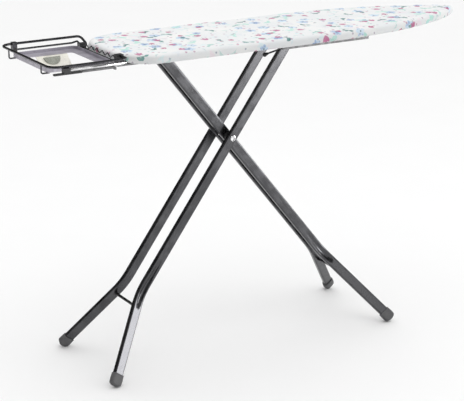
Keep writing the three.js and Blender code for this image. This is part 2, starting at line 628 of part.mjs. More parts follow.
// The tube on the near side, its clamp and its arm, and the flat bar that slides in the runner below it.
function makeRestTube() {
  const alongX = (radius, x0, x1, y, z) => barYZ(circlePoints(radius, 16), x0, x1).translate(0, y, z);
  const far = CLAMP_FAR;
  addPiece(board, 'rest_clamp_far', 'dark', cut(
    box(far.x0, far.x1, REST.half - far.half, REST.half + far.half, far.z0, far.z1),
    alongX(REST.radius + BORE, far.x0 - PAST, far.x1 + PAST, REST.half, REST.z),
    alongX(GUARD.radius + BORE, GUARD.start - GAP, far.x1 + PAST, REST.half, GUARD.z),
  ));
  const near = CLAMP_NEAR;
  addPiece(board, 'rest_clamp_near', 'plastic', cut(
    box(near.x0, near.x1, near.y0, near.y1, near.z0, near.z1),
    alongX(TUBE.radius + GAP, TUBE.x0 - GAP, near.x1 + PAST, TUBE.y, TUBE.z),
  ));
  const hollow = circlePoints(TUBE.radius - TUBE.wall, 16).reverse();
  addPiece(board, 'rest_tube_near', 'chrome',
    barYZ(circlePoints(TUBE.radius, 16), TUBE.x0, TUBE.x1, [hollow]).translate(0, TUBE.y, TUBE.z));
  addPiece(board, 'rest_arm_near', 'chrome', tubeArm(TUBE_ARM.radius));
  const runner = roundedRectPoints((RUNNER.x1 - RUNNER.x0) / 2, RUNNER.half, RUNNER.corner)
    .map((p) => new THREE.Vector2(p.x + (RUNNER.x0 + RUNNER.x1) / 2, p.y + TUBE.y));
  addPiece(board, 'rest_runner', 'plastic', slab(runner, RUNNER.z0, RUNNER.z1));
  const { x0, x1, half, z0, z1, stop, stopHalf, drop } = SLIDE_BAR;
  addPiece(board, 'rest_slide_bar', 'steel', join(
    box(x0, x1, TUBE.y - half, TUBE.y + half, z0, z1),
    box(x1 - stop, x1, TUBE.y - stopHalf, TUBE.y + stopHalf, z0 - drop, z0 + drop),
  ));
}

makeTop();
makeStruts();
makeSlideRails();
makeRack();
makeLegHinge();
makeLegPair(outerLeg, 'outer', {
  up: outerUp, half: OUTER_HALF, footHalf: OUTER_FOOT_HALF, footX: OUTER_FOOT_X, bendZ: OUTER_BEND_Z,
  bendRadius: OUTER_BEND_RADIUS, barZ: OUTER_BAR_Z, bore: GAP,
});
makeLegPair(innerLeg, 'inner', {
  up: innerUp, half: INNER_HALF, footHalf: INNER_FOOT_HALF, footX: INNER_FOOT_X, bendZ: INNER_BEND_Z,
  bendRadius: INNER_BEND_RADIUS, barZ: INNER_BAR_Z, bore: BORE,
});
makePivot();
makeSlide();
makeLever();
makeRestRail();
makeRestWires();
makeTray();
makeEndBlocks();
makeHeelPlate();
makeRestTube();

const ironingBoard = new THREE.Group();
ironingBoard.add(board, outerLeg, innerLeg, lever);
const leftEnd = REST.left - REST.radius;
const noseEnd = TAIL_X + BOARD_LENGTH;
ironingBoard.position.x = -(leftEnd + noseEnd) / 2;
ironingBoard.updateMatrixWorld(true);

export default ironingBoard;
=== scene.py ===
"""Looks of a folding ironing board: printed cotton cover, steel legs and a wire iron rest.

Metres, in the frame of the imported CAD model: +X to the nose, -Y is the near side, +Z up.
"""
import math

import bmesh
import bpy
import numpy as np
from mathutils import Matrix, Vector, noise


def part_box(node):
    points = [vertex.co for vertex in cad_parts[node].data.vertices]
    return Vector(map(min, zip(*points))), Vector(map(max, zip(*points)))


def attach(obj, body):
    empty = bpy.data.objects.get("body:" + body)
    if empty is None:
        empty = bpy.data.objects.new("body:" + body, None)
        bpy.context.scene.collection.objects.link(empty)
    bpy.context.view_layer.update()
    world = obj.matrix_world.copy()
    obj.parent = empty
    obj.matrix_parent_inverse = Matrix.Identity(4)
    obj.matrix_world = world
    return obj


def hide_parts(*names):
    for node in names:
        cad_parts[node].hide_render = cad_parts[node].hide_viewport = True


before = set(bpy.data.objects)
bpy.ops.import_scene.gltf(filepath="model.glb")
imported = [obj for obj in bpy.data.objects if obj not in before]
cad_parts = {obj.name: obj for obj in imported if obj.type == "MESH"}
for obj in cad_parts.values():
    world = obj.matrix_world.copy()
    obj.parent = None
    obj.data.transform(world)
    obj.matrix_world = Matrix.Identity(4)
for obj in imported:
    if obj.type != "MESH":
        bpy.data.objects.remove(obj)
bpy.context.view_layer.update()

MM = 0.001
SIDES = {"near": -1, "far": 1}

# The board's plan, as the CAD has it
COVER_LOW, COVER_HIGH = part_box("cover")
TAIL = COVER_LOW.x
BOARD_LENGTH = COVER_HIGH.x - COVER_LOW.x
BOARD_HALF = COVER_HIGH.y
TOP = COVER_HIGH.z
TAIL_CORNER = 0.112
TAPER_START = 0.653
TAPER_POWER = 2.13
TAPER_ROUND = 0.82

# Legs
TUBE_WIDTH = 0.015
TUBE_DEPTH = 0.030
TUBE_CORNER = 0.004
TUBE_END = 0.008


# Meshes ----------------------------------

def add_object(name, verts, faces, look, sharp=35):
    """A new mesh object, smooth except where faces meet at more than sharp degrees."""
    mesh = bpy.data.meshes.new(name)
    mesh.from_pydata([tuple(v) for v in verts], [], faces)
    mesh.validate()
    obj = bpy.data.objects.new(name, mesh)
    bpy.context.scene.collection.objects.link(obj)
    mesh.materials.append(look)
    work = bmesh.new()
    work.from_mesh(mesh)
    bmesh.ops.recalc_face_normals(work, faces=work.faces)
    work.to_mesh(mesh)
    work.free()
    mesh.polygons.foreach_set("use_smooth", [True] * len(mesh.polygons))
    mesh.set_sharp_from_angle(angle=math.radians(sharp))
    return obj


def place(obj, body, node):
    """obj rides on a body and stands in for a CAD node, which is hidden. Blender adds a number to the name of
    a finish that the CAD model has too."""
    finish = obj.data.materials[0].name.split(".")[0]
    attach(obj, body)
    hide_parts(node)


def span(node):
    """A CAD node's lowest and highest corners, and its middle."""
    low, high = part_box(node)
    return low, high, (low + high) / 2


def arc(before, corner, after, radius, steps):
    """Points round one rounded corner of a path."""
    back = (before - corner).normalized()
    on = (after - corner).normalized()
    half = back.angle(on) / 2
    centre = corner + (back + on).normalized() * (radius / math.sin(half))
    first = corner + back * (radius / math.tan(half)) - centre
    axis = on.cross(back).normalized()
    turn = math.pi - 2 * half
    return [centre + Matrix.Rotation(turn * i / steps, 3, axis) @ first for i in range(steps + 1)]


def bent(corners, radius, steps=8):
    """An open path of straight runs with rounded corners, of one radius or a list of them."""
    corners = [Vector(c) for c in corners]
    radii = radius if isinstance(radius, list) else [radius] * len(corners)
    points = [corners[0]]
    for i in range(1, len(corners) - 1):
        points += arc(corners[i - 1], corners[i], corners[i + 1], radii[i], steps)
    return points + [corners[-1]]


def evenly(path, step):
    """The same open path with a point at least every step."""
    points = [path[0]]
    for a, b in zip(path, path[1:]):
        parts = max(1, math.ceil((b - a).length / step))
        points += [a.lerp(b, i / parts) for i in range(1, parts + 1)]
    return points


def circle(radius, sides=16):
    return [(radius * math.cos(2 * math.pi * i / sides), radius * math.sin(2 * math.pi * i / sides))
            for i in range(sides)]


def rounded_rectangle(half_a, half_b, radius, corner_steps=5, a_parts=1, b_parts=1):
    """A closed section with its straight sides cut into parts."""
    points = []
    for quarter in range(4):
        sign_a = 1 if quarter in (0, 3) else -1
        sign_b = 1 if quarter < 2 else -1
        for i in range(corner_steps + 1):
            angle = math.pi / 2 * (quarter + i / corner_steps)
            points.append((sign_a * (half_a - radius) + radius * math.cos(angle),
                           sign_b * (half_b - radius) + radius * math.sin(angle)))
        parts = a_parts if quarter % 2 == 0 else b_parts
        a, b = points[-1]
        step_a = -sign_a * 2 * (half_a - radius) / parts if quarter % 2 == 0 else 0
        step_b = -sign_b * 2 * (half_b - radius) / parts if quarter % 2 else 0
        points += [(a + step_a * i, b + step_b * i) for i in range(1, parts)]
    return points


def sweep(path, section, first_side=None, round_end=0.0, shape=None):
    """Vertices and faces of a section carried along an open path. The section's first axis starts
    along first_side. shape(distance, a, b) may move a section point. round_end rounds off both ends."""
    path = [Vector(p) for p in path]
    runs = [(b - a).normalized() for a, b in zip(path, path[1:])]
    tangents = [(a + b).normalized() for a, b in zip(runs[:1] + runs, runs + runs[-1:])]
    side = Vector(first_side) if first_side else tangents[0].orthogonal()
    rings = []
    distance = 0.0
    for i, (point, tangent) in enumerate(zip(path, tangents)):
        distance += (point - path[i - 1]).length if i else 0.0
        side = (side - tangent * side.dot(tangent)).normalized()
        other = tangent.cross(side)
        moved = [shape(distance, a, b) for a, b in section] if shape else section
        rings.append([point + side * a + other * b for a, b in moved])
    if round_end:
        def shrunk(ring, middle, tangent, sign):
            return [[middle + (p - middle) * k + tangent * sign * push * round_end for p in ring]
                    for k, push in ((0.93, 0.45), (0.72, 0.85), (0.35, 1.0))]
        start = shrunk(rings[0], path[0], tangents[0], -1)[::-1]
        end = shrunk(rings[-1], path[-1], tangents[-1], 1)
        rings = start + rings + end
    return skin(rings)


def skin(rings, closed_path=False, caps=True):
    """Faces between rings of points, with flat caps on an open run."""
    sides = len(rings[0])
    verts = [p for ring in rings for p in ring]
    faces = []
    spans = len(rings) if closed_path else len(rings) - 1
    for i in range(spans):
        a = i * sides
        b = (i + 1) % len(rings) * sides
        for j in range(sides):
            k = (j + 1) % sides
            faces.append((a + j, a + k, b + k, b + j))
    if caps and not closed_path:
        faces.append(tuple(range(sides))[::-1])
        last = (len(rings) - 1) * sides
        faces.append(tuple(last + j for j in range(sides)))
    return verts, faces


def wire(name, corners, radius, bend, look, sides=14, steps=8):
    """A round wire through the corners, with rounded bends and ends."""
    path = bent(corners, bend, steps) if len(corners) > 2 else [Vector(c) for c in corners]
    return add_object(name, *sweep(path, circle(radius, sides), round_end=radius * 0.5), look)


def turned(name, profile, centre, look, sides=40, closed_profile=False):
    """A piece turned about a line along Y through a point. The profile is (y, radius) pairs."""
    rings = []
    for y, radius in profile:
        rings.append([Vector((centre.x + a, y, centre.z + b)) for a, b in circle(radius, sides)])
    return add_object(name, *skin(rings, closed_path=closed_profile), look)


def refine(node, look, bevel):
    """A CAD node kept as it is, with its finish and small rounded edges."""
    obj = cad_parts[node]
    obj.data.materials.clear()
    obj.data.materials.append(look)
    weld = obj.modifiers.new("weld", "WELD")
    weld.merge_threshold = 0.02 * MM
    edge = obj.modifiers.new("edges", "BEVEL")
    edge.width = bevel
    edge.segments = 2
    edge.limit_method = "ANGLE"
    edge.angle_limit = math.radians(35)


# Material nodes --------------------------

class Nodes:
    """The emptied node tree of a material or a world."""

    def __init__(self, owner):
        owner.use_nodes = True
        self.tree = owner.node_tree
        self.tree.nodes.clear()

    def put(self, socket, value):
        if isinstance(value, bpy.types.NodeSocket):
            self.tree.links.new(value, socket)
        elif isinstance(value, (tuple, list)) and len(value) == 3 and socket.type == "RGBA":
            socket.default_value = (*value, 1.0)
        else:
            socket.default_value = value

    def node(self, kind, inputs=(), **settings):
        made = self.tree.nodes.new(kind)
        for key, value in settings.items():
            setattr(made, key, value)
        for key, value in dict(inputs).items():
            self.put(made.inputs[key], value)
        return made


class Finish(Nodes):
    """One material, built node by node."""

    def __init__(self, name, **sockets):
        self.material = bpy.data.materials.new(name)
        super().__init__(self.material)
        self.shader = self.node("ShaderNodeBsdfPrincipled")
        self.node("ShaderNodeOutputMaterial", {"Surface": self.shader.outputs["BSDF"]})
        for socket, value in sockets.items():
            self.set(socket.replace("_", " "), value)

    def set(self, socket, value):
        self.put(self.shader.inputs[socket], value)

    def math(self, operation, a, b=0.0, c=0.0):
        return self.node("ShaderNodeMath", {0: a, 1: b, 2: c}, operation=operation).outputs[0]

    def total(self, a, share_a, b, share_b):
        """A weighted sum of two values."""
        return self.math("ADD", self.math("MULTIPLY", a, share_a), self.math("MULTIPLY", b, share_b))

    def vector(self, operation, a, b=(0.0, 0.0, 0.0)):
        made = self.node("ShaderNodeVectorMath", {0: a, 1: b}, operation=operation)
        return made.outputs["Value" if operation == "LENGTH" else "Vector"]

    def scaled(self, where, by):
        return self.node("ShaderNodeVectorMath", {0: where, "Scale": by}, operation="SCALE").outputs[0]

    def spun(self, where, angle):
        """A position turned about Z."""
        made = self.node("ShaderNodeVectorRotate", {"Vector": where, "Angle": angle}, rotation_type="Z_AXIS")
        return made.outputs[0]

    def split(self, where):
        return self.node("ShaderNodeSeparateXYZ", {0: where}).outputs

    def coords(self, stretch=(1.0, 1.0, 1.0), turn=(0.0, 0.0, 0.0)):
        source = self.node("ShaderNodeTexCoord").outputs["Object"]
        turned_space = self.node("ShaderNodeMapping", {"Vector": source, "Rotation": turn}).outputs[0]
        return self.node("ShaderNodeMapping", {"Vector": turned_space, "Scale": stretch}).outputs[0]

    def noise(self, where, scale, detail=3.0, distortion=0.0):
        return self.node("ShaderNodeTexNoise", {
            "Vector": where, "Scale": scale, "Detail": detail, "Distortion": distortion}).outputs[0]

    def step(self, value, low, high, out_low=0.0, out_high=1.0):
        """Smooth rise of value from low to high."""
        return self.node("ShaderNodeMapRange", {
            "Value": value, "From Min": low, "From Max": high, "To Min": out_low, "To Max": out_high,
        }, interpolation_type="SMOOTHSTEP").outputs[0]

    def mix(self, share, a, b):
        made = self.node("ShaderNodeMix", data_type="RGBA")
        self.put(made.inputs[0], share)
        self.put(made.inputs[6], a)
        self.put(made.inputs[7], b)
        return made.outputs[2]

    def bump(self, height, distance, strength=1.0, normal=None):
        made = self.node("ShaderNodeBump", {"Height": height, "Distance": distance, "Strength": strength})
        if normal is not None:
            self.put(made.inputs["Normal"], normal)
        return made.outputs[0]


def toned(colour, times, plus=0.0):
    """A colour made lighter or darker."""
    return tuple(min(1.0, c * times + plus) for c in colour)


def metal(name, colour, roughness, wear_and_highlight=0.35, grain=(1.0, 1.0, 1.0), turn=(0.0, 0.0, 0.0), metallic=1.0):
    """Steel with drawn streaks along its stretched axis, cloudy roughness, and edges made lighter in patches:
    partly wear, partly a painted highlight along the corners.
    """
    look = Finish(name, Metallic=metallic)
    plain = look.coords()
    streaks = look.noise(look.coords(grain, turn), 900.0, 4.0)
    clouds = look.noise(plain, 24.0, 5.0)
    pits = look.noise(plain, 1400.0, 2.0)
    edge = look.step(look.node("ShaderNodeNewGeometry").outputs["Pointiness"], 0.52, 0.60)
    # Lighter edges: partly wear, partly a painted highlight standing in for the shine along tube corners.
    worn_and_highlit = look.math("MULTIPLY", edge, look.step(look.noise(plain, 90.0, 4.0), 0.42, 0.62, 0.0, wear_and_highlight))
    shade = look.step(look.total(streaks, 0.5, clouds, 0.5), 0.35, 0.65)
    body = look.mix(shade, toned(colour, 0.78), toned(colour, 1.22))
    look.set("Base Color", look.mix(worn_and_highlit, body, toned(colour, 2.2, 0.12)))
    polish = look.total(clouds, 0.7, streaks, 0.3)
    look.set("Roughness", look.step(polish, 0.3, 0.7, roughness * 0.8, roughness * 1.25))
    look.set("Normal", look.bump(look.total(streaks, 0.7, pits, 0.3), 0.00012, 0.35))
    return look.material


def moulded(name, colour, roughness, grain_scale, grain_depth, speckle=0.0):
    """Moulded plastic or rubber: fine grain, cloudy tone, paler rubbed edges."""
    look = Finish(name)
    plain = look.coords()
    grain = look.noise(plain, grain_scale, 3.0)
    clouds = look.noise(plain, 40.0, 4.0)
    edge = look.step(look.node("ShaderNodeNewGeometry").outputs["Pointiness"], 0.52, 0.62)
    shade = look.step(look.total(clouds, 0.5, grain, 0.5), 0.35, 0.66)
    body = look.mix(shade, toned(colour, 0.82), toned(colour, 1.15, speckle))
    look.set("Base Color", look.mix(look.math("MULTIPLY", edge, 0.6), body, toned(colour, 1.5, 0.04)))
    look.set("Roughness", look.step(clouds, 0.3, 0.7, roughness * 0.88, min(1.0, roughness * 1.12)))
    look.set("Normal", look.bump(grain, grain_depth, 0.5))
    return look.material


# Printed cotton --------------------------

def scattered(look, cloth, cell, shift, share, size_spread=0.5):
    """One motif per cell, in a random place, turn and size. Returns its own coordinates in units of its
    size, three random numbers, and whether the cell has a motif."""
    moved = look.vector("ADD", cloth, (*shift, 0.0))
    cells = look.node("ShaderNodeTexVoronoi", {"Vector": moved, "Scale": 1 / cell, "Randomness": 0.8},
                      voronoi_dimensions="2D")
    local = look.vector("SUBTRACT", moved, cells.outputs["Position"])
    chance = look.node("ShaderNodeSeparateColor", {0: cells.outputs["Color"]}).outputs
    angle = look.math("MULTIPLY", chance[0], 2 * math.pi)
    size = look.math("MULTIPLY_ADD", chance[1], size_spread, 1 - size_spread / 2)
    sized = look.scaled(look.spun(local, angle), look.math("DIVIDE", 1.0, size))
    there = look.math("LESS_THAN", chance[2], share)
    return sized, chance, there


def leaf(look, local, centre, turn, length, width, curve=0.0, soft=0.0006):
    """A pointed leaf, 1 inside and 0 outside, bowed sideways by curve."""
    moved = look.vector("SUBTRACT", local, (*centre, 0.0))
    along, across, _ = look.split(look.spun(moved, turn))
    share = look.math("DIVIDE", along, length / 2)
    swell = look.math("SUBTRACT", 1.0, look.math("MULTIPLY", share, share))
    off = look.math("ABSOLUTE", look.math("SUBTRACT", across, look.math("MULTIPLY", swell, curve)))
    edge = look.math("MULTIPLY", swell, width / 2)
    return look.step(look.math("SUBTRACT", edge, off), -soft, soft)


def flower(look, local, radius, petals):
    """A round flower of several petals, and the distance from its middle."""
    x, y, _ = look.split(local)
    around = look.math("ARCTAN2", y, x)
    lobe = look.math("ABSOLUTE", look.math("COSINE", look.math("MULTIPLY", around, petals / 2)))
    edge = look.math("MULTIPLY_ADD", look.math("POWER", lobe, 0.55), 0.55 * radius, 0.45 * radius)
    away = look.vector("LENGTH", local)
    return look.step(look.math("SUBTRACT", edge, away), -0.0008, 0.0008), away


def printed_cotton():
    look = Finish("printed_cotton", Roughness=0.88, Sheen_Weight=0.12, Sheen_Roughness=0.5)
    cloth = look.node("ShaderNodeAttribute", attribute_name="cut").outputs["Vector"]
    wobble = look.node("ShaderNodeTexNoise", {"Vector": cloth, "Scale": 160.0, "Detail": 2.0})
    wavy = look.vector("SUBTRACT", wobble.outputs["Color"], (0.5, 0.5, 0.5))
    ink_place = look.vector("ADD", cloth, look.scaled(wavy, 0.0022))
    wash = look.noise(cloth, 70.0, 4.0)
    patchy = look.step(look.noise(cloth, 9.0, 3.0), 0.35, 0.7)
    colour = look.mix(patchy, (0.72, 0.74, 0.75), (0.79, 0.79, 0.78))

    def joined(*masks):
        """One mask of several shapes."""
        whole = masks[0]
        for mask in masks[1:]:
            whole = look.math("MAXIMUM", whole, mask)
        return whole

    def paint(under, mask, there, ink_a, ink_b, pick, strength):
        """Ink of two colours, faded in places, over the cloth so far."""
        ink = look.mix(pick, ink_a, ink_b)
        faded = look.step(wash, 0.25, 0.62, strength * 0.72, strength)
        amount = look.math("MULTIPLY", look.math("MULTIPLY", mask, there), faded)
        return look.mix(amount, under, ink)

    # Pale leaves and tints
    local, chance, there = scattered(look, ink_place, 0.052, (0.31, 0.17), 0.88)
    pale = joined(leaf(look, local, (0.0, 0.0), 0.4, 0.034, 0.012, 0.004, 0.002),
                  leaf(look, local, (0.006, 0.011), -0.7, 0.022, 0.008, 0.002, 0.002))
    colour = paint(colour, pale, there, (0.48, 0.74, 0.76), (0.80, 0.62, 0.70), chance[1], 0.48)
    local, chance, there = scattered(look, ink_place, 0.041, (0.72, 0.53), 0.6)
    twig = joined(leaf(look, local, (0.0, 0.0), 0.0, 0.026, 0.0035, 0.003),
                  leaf(look, local, (0.004, 0.004), 0.9, 0.011, 0.0045),
                  leaf(look, local, (-0.004, 0.005), -0.6, 0.010, 0.004))
    colour = paint(colour, twig, there, (0.36, 0.52, 0.54), (0.30, 0.60, 0.52), chance[1], 0.55)
    # Light blue flowers with dark middles
    local, chance, there = scattered(look, ink_place, 0.072, (0.13, 0.91), 0.66, 0.35)
    petals, away = flower(look, local, 0.0165, 5)
    fade = look.step(look.noise(cloth, 52.0, 1.0), 0.38, 0.60)
    colour = paint(colour, petals, there, (0.17, 0.29, 0.54), (0.55, 0.70, 0.82), fade, 0.90)
    middle = look.step(away, 0.0034, 0.0024)
    colour = paint(colour, middle, there, (0.02, 0.07, 0.10), (0.03, 0.12, 0.10), chance[1], 0.9)
    # Teal leaf sprigs
    local, chance, there = scattered(look, ink_place, 0.066, (0.47, 0.29), 0.72, 0.35)
    sprig = joined(leaf(look, local, (0.0, 0.0), 0.0, 0.038, 0.0036, 0.005),
                   leaf(look, local, (0.011, 0.009), 0.75, 0.020, 0.0098, 0.001),
                   leaf(look, local, (0.001, 0.011), 1.9, 0.017, 0.0098, 0.001),
                   leaf(look, local, (-0.011, 0.002), -0.5, 0.018, 0.0098, 0.001))
    fade = look.step(chance[1], 0.2, 0.6)
    colour = paint(colour, sprig, there, (0.01, 0.17, 0.16), (0.40, 0.70, 0.62), fade, 0.94)
    # Magenta tulips, each with a small stalk
    local, chance, there = scattered(look, ink_place, 0.062, (0.83, 0.66), 0.54, 0.35)
    tulip = joined(leaf(look, local, (0.0, 0.0), 0.0, 0.023, 0.0095),
                   leaf(look, local, (0.0020, -0.0044), -0.42, 0.022, 0.0080),
                   leaf(look, local, (0.0020, 0.0044), 0.42, 0.022, 0.0080))
    colour = paint(colour, tulip, there, (0.42, 0.025, 0.14), (0.48, 0.09, 0.25), chance[1], 0.92)
    stalk = leaf(look, local, (-0.014, 0.0), 0.1, 0.014, 0.0016, 0.001)
    colour = paint(colour, stalk, there, (0.02, 0.14, 0.11), (0.05, 0.20, 0.16), chance[1], 0.8)
    # Small buds
    local, chance, there = scattered(look, ink_place, 0.029, (0.22, 0.41), 0.62)
    bud = look.step(look.vector("LENGTH", local), 0.0042, 0.0028)
    colour = paint(colour, bud, there, (0.10, 0.22, 0.30), (0.52, 0.12, 0.26), chance[1], 0.7)

    # Plain weave: threads over and under, with uneven yarn. Low yarn is greyed: partly uneven yarn tone,
    # partly painted shade between the threads.
    x, y, _ = look.split(cloth)
    turns = 2 * math.pi / 0.0009
    warp = look.math("SINE", look.math("MULTIPLY", x, turns))
    weft = look.math("SINE", look.math("MULTIPLY", y, turns))
    weave = look.math("MULTIPLY", warp, weft)
    slub = look.noise(cloth, 420.0, 3.0)
    yarn = look.math("ADD", look.math("MULTIPLY", weave, 0.25), slub)
    # Greying where the yarn is low: uneven yarn tone and painted shade in the dips between threads.
    yarn_tone_and_painted_shade = look.mix(look.step(yarn, 0.2, 0.8, 0.10, 0.0), colour, (0.45, 0.45, 0.46))
    look.set("Base Color", yarn_tone_and_painted_shade)
    look.set("Roughness", look.step(slub, 0.3, 0.7, 0.80, 0.95))
    soft = look.bump(look.noise(cloth, 38.0, 3.0), 0.0012, 0.35)
    look.set("Normal", look.bump(yarn, 0.00022, 0.6, soft))
    return look.material


def felt():
    look = Finish("felt", Sheen_Weight=0.25)
    plain = look.coords()
    fibres = look.noise(plain, 520.0, 6.0, 1.2)
    clumps = look.noise(plain, 60.0, 3.0)
    shade = look.step(look.total(fibres, 0.6, clumps, 0.4), 0.35, 0.65)
    look.set("Base Color", look.mix(shade, (0.50, 0.48, 0.44), (0.72, 0.70, 0.65)))
    look.set("Roughness", look.step(fibres, 0.3, 0.7, 0.9, 1.0))
    look.set("Normal", look.bump(fibres, 0.0008, 0.8))
    return look.material


def speckled_pad():
    """The heel pad: a fine woven-looking grit."""
    look = Finish("speckled_pad")
    plain = look.coords()
    grit = look.node("ShaderNodeTexVoronoi", {"Vector": plain, "Scale": 620.0}).outputs["Distance"]
    cloud = look.noise(plain, 70.0, 3.0)
    shade = look.step(look.total(grit, 0.7, cloud, 0.4), 0.25, 0.75)
    look.set("Base Color", look.mix(shade, (0.17, 0.18, 0.15), (0.36, 0.37, 0.32)))
    look.set("Roughness", look.step(cloud, 0.3, 0.7, 0.75, 0.9))
    look.set("Normal", look.bump(grit, 0.0006, 0.7))
    return look.material


GUNMETAL = (0.092, 0.092, 0.097)
DRAWN = (0.05, 1.0, 1.0)
LEG_OUTER = metal("gunmetal_outer", GUNMETAL, 0.27, 0.5, DRAWN, (0.0, 0.94, 0.0))
LEG_INNER = metal("gunmetal_inner", GUNMETAL, 0.27, 0.5, DRAWN, (0.0, -0.89, 0.0))
DARK_WIRE = metal("dark_wire", (0.075, 0.075, 0.080), 0.27, 0.5)
CHROME = metal("bright_steel", (0.74, 0.74, 0.75), 0.15, 0.2)
FRAME_STEEL = metal("frame_steel", (0.17, 0.17, 0.175), 0.5, 0.4, metallic=0.15)
TRAY_SHEET = metal("tray_sheet", (0.44, 0.42, 0.475), 0.40, 0.4, metallic=0.35)
CREAM = moulded("cream_plate", (0.78, 0.76, 0.66), 0.5, 600.0, 0.0002)
RUBBER = moulded("grey_rubber", (0.095, 0.095, 0.098), 0.72, 900.0, 0.0004, 0.03)
BLACK = moulded("black_plastic", (0.018, 0.018, 0.019), 0.38, 1100.0, 0.00015)
COTTON = printed_cotton()
FELT = felt()
PAD = speckled_pad()


# The covered top -------------------------

TAIL_PARTS = 9
CORNER_PARTS = 28
SIDE_PARTS = 84
NOSE_PARTS = 110
SPINE_END = 0.09


def tapered(half, share):
    """The plan's half width at a share of the taper, from its start to the tip."""
    return half * (1 - share ** TAPER_POWER) ** TAPER_ROUND


def board_outline(inset):
    """The board's plan at an inset, from the middle of the tail round the far side, as an array."""
    half = BOARD_HALF - inset
    length = BOARD_LENGTH - inset
    radius = TAIL_CORNER - inset
    centre_y = BOARD_HALF - TAIL_CORNER
    far = [(TAIL + inset, centre_y * i / TAIL_PARTS) for i in range(TAIL_PARTS)]
    for i in range(CORNER_PARTS):
        angle = math.pi / 2 * i / CORNER_PARTS
        far.append((TAIL + TAIL_CORNER - radius * math.cos(angle), centre_y + radius * math.sin(angle)))
    side_start = TAIL + TAIL_CORNER
    side_end = TAIL + TAPER_START
    far += [(side_start + (side_end - side_start) * i / SIDE_PARTS, half) for i in range(SIDE_PARTS)]
    for i in range(NOSE_PARTS):
        share = math.sin(math.pi / 2 * i / NOSE_PARTS)
        far.append((side_end + (length - TAPER_START) * share, tapered(half, share)))
    tip = [(TAIL + length, 0.0)]
    near = [(x, -y) for x, y in reversed(far[1:])]
    return np.array(far + tip + near)


def rim_ring(inset, z):
    """The board's plan at an inset and a height."""
    outline = board_outline(inset)
    return np.column_stack([outline, np.full(len(outline), z)])


def spine_of(edge):
    """The line down the middle of the board that an edge closes onto, point for point."""
    along = np.clip(edge[:, 0], TAIL + TAIL_CORNER, TAIL + BOARD_LENGTH - SPINE_END)
    return np.column_stack([along, np.zeros(len(edge))])


def run_along(outline):
    """The distance round the outline at each point."""
    return np.cumsum(np.linalg.norm(np.roll(outline, -1, 0) - outline, axis=1))


def wave_along(outline, pitch, *drifts):
    """A ripple round the outline whose pitch drifts: each drift is how much and over what distance."""
    along = run_along(outline)
    return np.sin(along / pitch + sum(much * np.sin(along / over) for much, over in drifts))


def sewn(mesh):
    """Merges points that meet, and turns every face outward."""
    work = bmesh.new()
    work.from_mesh(mesh)
    bmesh.ops.remove_doubles(work, verts=work.verts, dist=0.05 * MM)
    bmesh.ops.dissolve_degenerate(work, edges=work.edges, dist=0.01 * MM)
    bmesh.ops.recalc_face_normals(work, faces=work.faces)
    highest = max(work.faces, key=lambda face: face.calc_center_median().z)
    if highest.normal.z < 0:
        bmesh.ops.reverse_faces(work, faces=work.faces)
    work.to_mesh(mesh)
    work.free()


# Across the edge: how far in from the outline, and how far below the top, in millimetres.
EDGE_PROFILE = [
    (16, 0.0), (12.5, 0.10), (9.5, 0.45), (7, 1.1), (5, 2.0), (3.3, 3.2), (2.0, 4.7), (1.0, 6.6), (0.4, 8.8),
    (0.1, 11.2), (0, 13.6), (0, 16.0), (0.2, 18.2), (0.8, 20.4), (1.9, 22.3), (3.6, 23.6), (5.8, 24.2),
    (8.5, 24.3), (11.5, 24.3), (14.5, 24.4), (17.2, 24.6),
]
CHANNEL_CENTRE = (20.4, 25.3)
CHANNEL_RADIUS = 2.1
CHANNEL_STEPS = 9
SKIRT_RINGS = slice(0, 20)
WIDEST_RING = 10
FREE_FROM = 2
FREE_TO = 17
PLEATS_FROM = 14
MOST_OUT = 2.6 * MM
MOST_IN = 0.6 * MM
MOST_UP = 0.5 * MM
TOP_RINGS = [0.96, 0.9, 0.82, 0.73, 0.64, 0.55, 0.46, 0.37, 0.28, 0.19, 0.1, 0.0]
CROWN = 0.9 * MM
PLEAT = 1.5 * MM


def edge_profile():
    """The cover's edge from the flat of the top, round the rim and under it to the drawcord channel."""
    channel = []
    for i in range(1, CHANNEL_STEPS + 1):
        angle = math.radians(165 + 300 * i / CHANNEL_STEPS)
        channel.append((CHANNEL_CENTRE[0] + CHANNEL_RADIUS * math.cos(angle),
                        CHANNEL_CENTRE[1] - CHANNEL_RADIUS * math.sin(angle)))
    return EDGE_PROFILE + channel


def curl(outline):
    """How tightly the outline bends at each point, from 0 on the straights to 1 at the tail corners."""
    ahead = np.roll(outline, -1, 0) - outline
    behind = outline - np.roll(outline, 1, 0)
    turn = np.abs(ahead[:, 0] * behind[:, 1] - ahead[:, 1] * behind[:, 0])
    length = np.linalg.norm(ahead, axis=1) * np.linalg.norm(behind, axis=1)
    spread = (np.linalg.norm(ahead, axis=1) + np.linalg.norm(behind, axis=1)) / 2
    bend = np.arcsin(np.clip(turn / length, 0, 1)) / spread * TAIL_CORNER
    kernel = np.hanning(15) / np.hanning(15).sum()
    padded = np.concatenate([bend[-7:], bend, bend[:7]])
    return np.clip(np.convolve(padded, kernel, "valid"), 0, 1)


COTTON_CLOTH = {"quality": 6, "mass": 0.15, "tension_stiffness": 18, "compression_stiffness": 18,
                "shear_stiffness": 6, "bending_stiffness": 0.05, "vertex_group_mass": "pin",
                "vertex_group_shrink": "loose", "shrink_min": -0.02, "shrink_max": -0.085}
CLOTH_STEPS = 18


